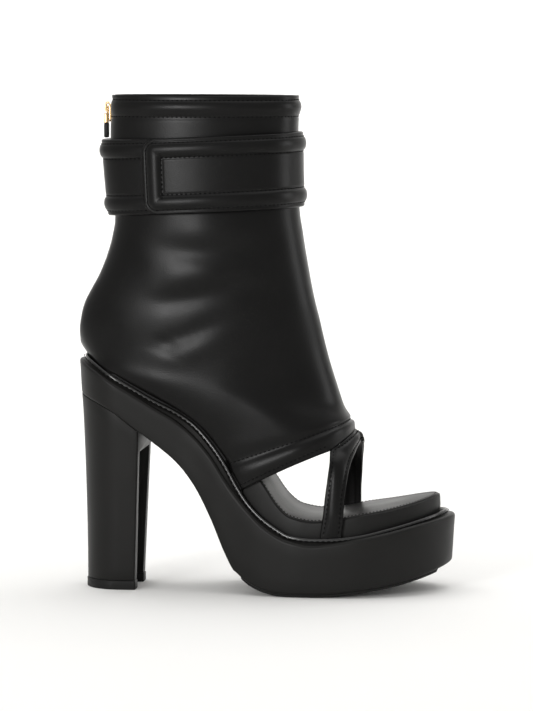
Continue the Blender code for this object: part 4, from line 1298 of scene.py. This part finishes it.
# Stitches round the tab's end, at an even distance from its edge.
def stitch_tab_end(stitches, points, normals, lengths, shares, seam, tall):
    line = []
    out = []
    steps = 60
    radius = max(TAB_CORNER - seam, 0.0005)
    path = []
    for k in range(16):
        angle = math.pi / 2 * k / 15
        path.append((seam + radius * (1 - math.sin(angle)), seam + radius * (1 - math.cos(angle))))
    path += [(seam, rise) for rise in np.linspace(TAB_CORNER, tall - TAB_CORNER, steps)]
    for k in range(16):
        angle = math.pi / 2 * (1 - k / 15)
        path.append((seam + radius * (1 - math.sin(angle)), tall - seam - radius * (1 - math.cos(angle))))
    for left, rise in path:
        cut = 0.0
        if left < TAB_CORNER:
            cut = TAB_CORNER - math.sqrt(max(TAB_CORNER ** 2 - (TAB_CORNER - left) ** 2, 0.0))
        share = (rise - cut) / max(tall - 2 * cut, 0.001)
        r = np.interp(left, lengths, np.arange(len(lengths)))
        c = np.interp(share, shares, np.arange(len(shares)))
        r0, c0 = int(r), int(c)
        r1, c1 = min(r0 + 1, len(lengths) - 1), min(c0 + 1, len(shares) - 1)
        a, b = r - r0, c - c0
        line.append(
            (points[r0, c0] * (1 - a) + points[r1, c0] * a) * (1 - b)
            + (points[r0, c1] * (1 - a) + points[r1, c1] * a) * b
        )
        out.append(normals[r0, c0])
    stitches.run(line, out)


# Zip

def back_line(height):
    rows = SHAFT_ROWS[::-1]
    return float(np.interp(height, [level(row[3]) for row in rows], [row[2] * PLATFORM_LENGTH for row in rows]))


def zip_heights(count):
    top = COLLAR_RIM - ZIP_TOP_DROP
    bottom = level(SHAFT_ROWS[SLIT_ROWS - 1][3]) + ZIP_END_CLEAR
    return np.linspace(bottom, top, count)


def build_zip():
    rows = []
    for height in zip_heights(90):
        x = back_line(height) + TAPE_SINK
        rows.append([(x + 0.0002 * abs(y) / 0.003, y, height) for y in np.linspace(-TAPE_WIDTH / 2, TAPE_WIDTH / 2, 9)])
    points = np.array(rows)
    tape = add_mesh(
        "zip_tape_cloth", points.reshape(-1, 3), grid_faces(90, 9), TAPE, nodes=["zip_tape"], slot="zip_tape_black",
    )
    if tape.data.polygons[0].normal.x > 0:
        tape.data.flip_normals()
    thicken(tape, TAPE_THICK)
    verts = []
    faces = []
    heights = zip_heights(150)
    for k, height in enumerate(heights[1:-1]):
        side = 1 if k % 2 else -1
        x = back_line(height) + TAPE_SINK - GAP - TEETH_THICK * 0.5
        start = len(verts)
        for step in range(7):
            y = side * (-0.0004 + 0.0017 * step / 6)
            size = 0.00042 if step not in (0, 6) else 0.00026
            bulge = TEETH_THICK * 0.45 * math.sin(math.pi * (step + 1) / 8)
            for turn in range(6):
                angle = turn * math.pi / 3
                verts.append((x - bulge * 0.3 + size * math.cos(angle), y, height + size * 0.9 * math.sin(angle)))
        for step in range(6):
            for turn in range(6):
                a = start + step * 6 + turn
                b = start + step * 6 + (turn + 1) % 6
                faces.append((a, b, b + 6, a + 6))
        faces.append(tuple(start + i for i in range(6)))
        faces.append(tuple(start + 36 + i for i in range(6)))
    turn_outward(add_mesh("zip_coil", verts, faces, TEETH, nodes=["zip_teeth"], slot="zip_teeth_black", sharp=70.0))


def slider_face():
    top = COLLAR_RIM - SLIDER_DROP
    teeth = min(back_line(top - SLIDER_LENGTH * k / 16) for k in range(17)) + TAPE_SINK - GAP - TEETH_THICK
    return teeth - GAP - SLIDER_THICK


def tube(name, path, radius, closed, body, material, nodes, slot, flatten=1.0):
    verts = []
    faces = []
    path = [Vector(p) for p in path]
    count = len(path)
    around = 12
    for i, point in enumerate(path):
        after = path[(i + 1) % count] if closed or i < count - 1 else point
        before = path[i - 1] if closed or i > 0 else point
        along = (after - before).normalized()
        side = along.cross(Vector((0.31, 0.12, 0.94)) if abs(along.z) < 0.9 else Vector((1.0, 0.1, 0.0))).normalized()
        up = side.cross(along)
        for turn in range(around):
            angle = 2 * math.pi * turn / around
            verts.append(point + side * math.cos(angle) * radius + up * math.sin(angle) * radius * flatten)
    last = count if closed else count - 1
    for i in range(last):
        for turn in range(around):
            a = i * around + turn
            b = i * around + (turn + 1) % around
            c = ((i + 1) % count) * around + (turn + 1) % around
            d = ((i + 1) % count) * around + turn
            faces.append((a, b, c, d))
    if not closed:
        faces.append(tuple(range(around)))
        faces.append(tuple((count - 1) * around + t for t in range(around)))
    return turn_outward(add_mesh(name, verts, faces, material, body=body, nodes=nodes, slot=slot))


# Plate with a rounded outline in the Y-Z plane and softened rims.
def soft_plate(name, outline, low, high, softness, material, body, nodes, slot):
    rings = []
    middle = np.mean(np.array(outline), axis=0)
    for x, shrink in ((low, softness), (low + softness * 0.35, softness * 0.25), (low + softness, 0.0),
                      (high - softness, 0.0), (high - softness * 0.35, softness * 0.25), (high, softness)):
        row = []
        for y, z in outline:
            away = Vector((y - middle[0], z - middle[1]))
            away = away * (1 - shrink / max(away.length, 1e-6))
            row.append((x, middle[0] + away.x, middle[1] + away.y))
        rings.append(row)
    count = len(outline)
    verts = [p for row in rings for p in row]
    faces = ring_faces(len(rings), count)
    faces.append(tuple(range(count)))
    faces.append(tuple((len(rings) - 1) * count + i for i in range(count)))
    return turn_outward(add_mesh(name, verts, faces, material, body=body, nodes=nodes, slot=slot))


def rounded_outline(half, bottom, top, radius, waist=0.0):
    corners = ((half - radius, top - radius, 0), (-half + radius, top - radius, 1),
               (-half + radius, bottom + radius, 2), (half - radius, bottom + radius, 3))
    points = []
    for y, z, quarter in corners:
        for k in range(7):
            angle = math.pi / 2 * (quarter + k / 6)
            points.append((y + radius * math.cos(angle), z + radius * math.sin(angle)))
    if waist:
        middle = (bottom + top) / 2
        span = (top - bottom) / 2
        points = [(y * (1 - waist * max(0.0, 1 - ((z - middle) / span) ** 2)), z) for y, z in points]
    return points


def build_slider():
    face = slider_face()
    top = COLLAR_RIM - SLIDER_DROP
    bottom = top - SLIDER_LENGTH
    outline = rounded_outline(SLIDER_WIDTH / 2, bottom, top, 0.0016, 0.12)
    soft_plate("slider_plate", outline, face, face + SLIDER_THICK, 0.0006, GOLD, "shoe",
               ["slider_body"], "slider_pale_gold")
    arch = COLLAR_RIM - BRIDGE_DROP - BRIDGE_BAR / 2
    foot = COLLAR_RIM - BRIDGE_DROP - BRIDGE_LENGTH + BRIDGE_BAR / 2
    reach = face - BRIDGE_HOLE - BRIDGE_BAR / 2
    path = [(face + 0.0003, 0.0, foot)]
    bend = 0.0011
    for k in range(7):
        angle = math.pi / 2 * k / 6
        path.append((reach + bend - bend * math.sin(angle), 0.0, foot + bend - bend * math.cos(angle)))
    for k in range(7):
        angle = math.pi / 2 * k / 6
        path.append((reach + bend - bend * math.cos(angle), 0.0, arch - bend + bend * math.sin(angle)))
    path.append((face + 0.0003, 0.0, arch))
    tube("slider_arch", path, BRIDGE_BAR / 2, False, "shoe", GOLD, (), "slider_pale_gold", 1.5)
    pivot = COLLAR_RIM - BRIDGE_DROP - BRIDGE_LENGTH / 2
    middle_x = face - BRIDGE_HOLE / 2
    half = LINK_WIDTH / 2 - LINK_BAR / 2
    low = pivot - LINK_LENGTH - 0.0004
    loop = []
    for y, z in rounded_outline(half, low, pivot, 0.0009):
        loop.append((middle_x, y, z))
    tube("link_ring", loop, LINK_BAR / 2, True, "zip_pull", GOLD, ("zip_link",), "link_pale_gold")
    ferrule_top = pivot - LINK_LENGTH
    ferrule_bottom = ferrule_top - FERRULE_LENGTH
    ferrule_x = face - GAP - FERRULE_THICK
    outline = rounded_outline(FERRULE_WIDTH / 2, ferrule_bottom, ferrule_top, 0.0009, 0.10)
    soft_plate("pull_ferrule", outline, ferrule_x, ferrule_x + FERRULE_THICK, 0.0006, GOLD, "zip_pull",
               (), "link_pale_gold")
    middle = ferrule_x + FERRULE_THICK / 2
    outline = rounded_outline(PULL_WIDTH / 2, ferrule_bottom - GAP - PULL_LENGTH, ferrule_bottom + 0.0004, 0.0010, -0.06)
    soft_plate("pull_leather", outline, middle - PULL_THICK / 2, middle + PULL_THICK / 2, 0.0005, BED_LEATHER,
               "zip_pull", ["zip_pull_tab"], "pull_tab_black_leather")


def stitch_insole(stitches):
    start = lambda x: footbed_inset(x) + INSOLE_INSET + 0.0014
    rows = ring(start, lambda x: profile("seat", x) + GAP + 0.00005)
    span = [i for i, p in enumerate(rows) if p[0] > 0.085]
    points = [rows[i] for i in span]
    stitches.run(points, [(0.2, 0.0, 1.0)] * len(points), pitch=0.0021, length=0.0013, radius=0.00030)


def stitch_welt(stitches):
    rows = ring(lambda x: welt_outer(x) - 0.0007, lambda x: deck(x) + 0.0002 * steepness(x))
    loop = rows + rows[:1]
    stitches.run(loop, [(0.2, 0.0, 1.0)] * len(loop), pitch=0.0032, length=0.0021, radius=0.00028)


# Stage, light and camera

def add_stage():
    paper = new_material("studio_paper", (0.86, 0.855, 0.84), 0.9)
    links = paper.node_tree.links
    place = add_node(paper, "ShaderNodeTexCoord")
    fibre = set_inputs(add_node(paper, "ShaderNodeTexNoise"), Scale=220.0, Detail=3.0)
    links.new(place.outputs["Object"], fibre.inputs["Vector"])
    bump = set_inputs(add_node(paper, "ShaderNodeBump"), Strength=0.05, Distance=0.0002)
    links.new(fibre.outputs["Fac"], bump.inputs["Height"])
    links.new(bump.outputs["Normal"], shader_of(paper).inputs["Normal"])
    shape = []
    for k in range(2):
        shape.append((-2.6 if k == 0 else 1.4, 0.0))
    for k in range(1, 13):
        angle = math.pi / 2 * k / 12
        shape.append((1.4 + 0.8 * math.sin(angle), 0.8 * (1 - math.cos(angle))))
    shape.append((2.2, 3.2))
    verts = []
    for y, z in shape:
        for x in (-4.0, 4.0):
            verts.append((x, y, z))
    faces = [(2 * i, 2 * i + 1, 2 * i + 3, 2 * i + 2) for i in range(len(shape) - 1)]
    mesh = bpy.data.meshes.new("studio_sweep")
    mesh.from_pydata(verts, [], faces)
    mesh.shade_smooth()
    mesh.materials.append(paper)
    sweep = bpy.data.objects.new("studio_sweep", mesh)
    bpy.context.scene.collection.objects.link(sweep)


def add_light(name, place, target, width, height, power, colour=(1.0, 1.0, 1.0)):
    data = bpy.data.lights.new(name, "AREA")
    data.shape = "RECTANGLE"
    data.size = width
    data.size_y = height
    data.energy = power
    data.color = colour
    item = bpy.data.objects.new(name, data)
    item.location = place
    item.rotation_euler = (Vector(target) - Vector(place)).to_track_quat("-Z", "Y").to_euler()
    bpy.context.scene.collection.objects.link(item)
    return item


CAMERA_DISTANCE = 2.25
CAMERA_TURN = math.radians(6.6)
CAMERA_TILT = math.radians(4.86)
CAMERA_TARGET = Vector((0.10835, 0.0, 0.1345))
CAMERA_LENS = 197.6


def add_camera():
    turn, tilt = CAMERA_TURN, CAMERA_TILT
    right = Vector((math.cos(turn), math.sin(turn), 0.0))
    forward = Vector((-math.sin(turn) * math.cos(tilt), math.cos(turn) * math.cos(tilt), -math.sin(tilt)))
    up = right.cross(forward)
    data = bpy.data.cameras.new("photo_camera")
    data.sensor_width = 36.0
    data.sensor_fit = "AUTO"
    data.lens = CAMERA_LENS
    data.clip_end = 30.0
    item = bpy.data.objects.new("photo_camera", data)
    turned = Matrix((right, up, -forward)).transposed().to_4x4()
    turned.translation = CAMERA_TARGET + OFFSET - forward * CAMERA_DISTANCE
    item.matrix_world = turned
    bpy.context.scene.collection.objects.link(item)
    bpy.context.scene.camera = item


def add_lights():
    world = bpy.data.worlds.new("studio_air")
    world.use_nodes = True
    world.node_tree.nodes["Background"].inputs["Color"].default_value = (1.0, 0.995, 0.985, 1.0)
    world.node_tree.nodes["Background"].inputs["Strength"].default_value = 0.62
    bpy.context.scene.world = world
    add_light("top_box", (0.0, 0.1, 2.2), (0.0, 0.1, 0.0), 2.6, 2.0, 20.0)
    add_light("backdrop_wash", (0.0, 0.9, 1.6), (0.0, 2.1, 0.3), 2.8, 0.6, 22.0)
    add_light("key_box", (-0.75, -2.0, 0.50), (-0.02, 0.0, 0.16), 0.36, 0.50, 22.0)
    add_light("toe_box", (1.9, 0.3, 0.5), (0.05, 0.0, 0.12), 0.6, 1.0, 6.0)


add_camera()
add_lights()
add_stage()
build_platform()
build_tread()
build_welt()
build_footbed()
build_insole()
build_heel()
UPPER_STITCHES = Stitches()
UPPER_GRID = build_upper()
stitch_upper(UPPER_STITCHES, *UPPER_GRID)
build_forefoot_strap(UPPER_STITCHES)
UPPER_STITCHES.make("upper_stitches", THREAD, "upper_black_satin")
STRAP_STITCHES = Stitches()
build_ankle_strap(STRAP_STITCHES)
STRAP_STITCHES.make("ankle_strap_stitches", THREAD, "ankle_strap_black_satin")
SOLE_STITCHES = Stitches()
stitch_insole(SOLE_STITCHES)
stitch_welt(SOLE_STITCHES)
SOLE_STITCHES.make("sole_stitches", THREAD, "insole_grey_satin")
build_zip()
build_slider()

bpy.context.scene.view_settings.view_transform = "Standard"
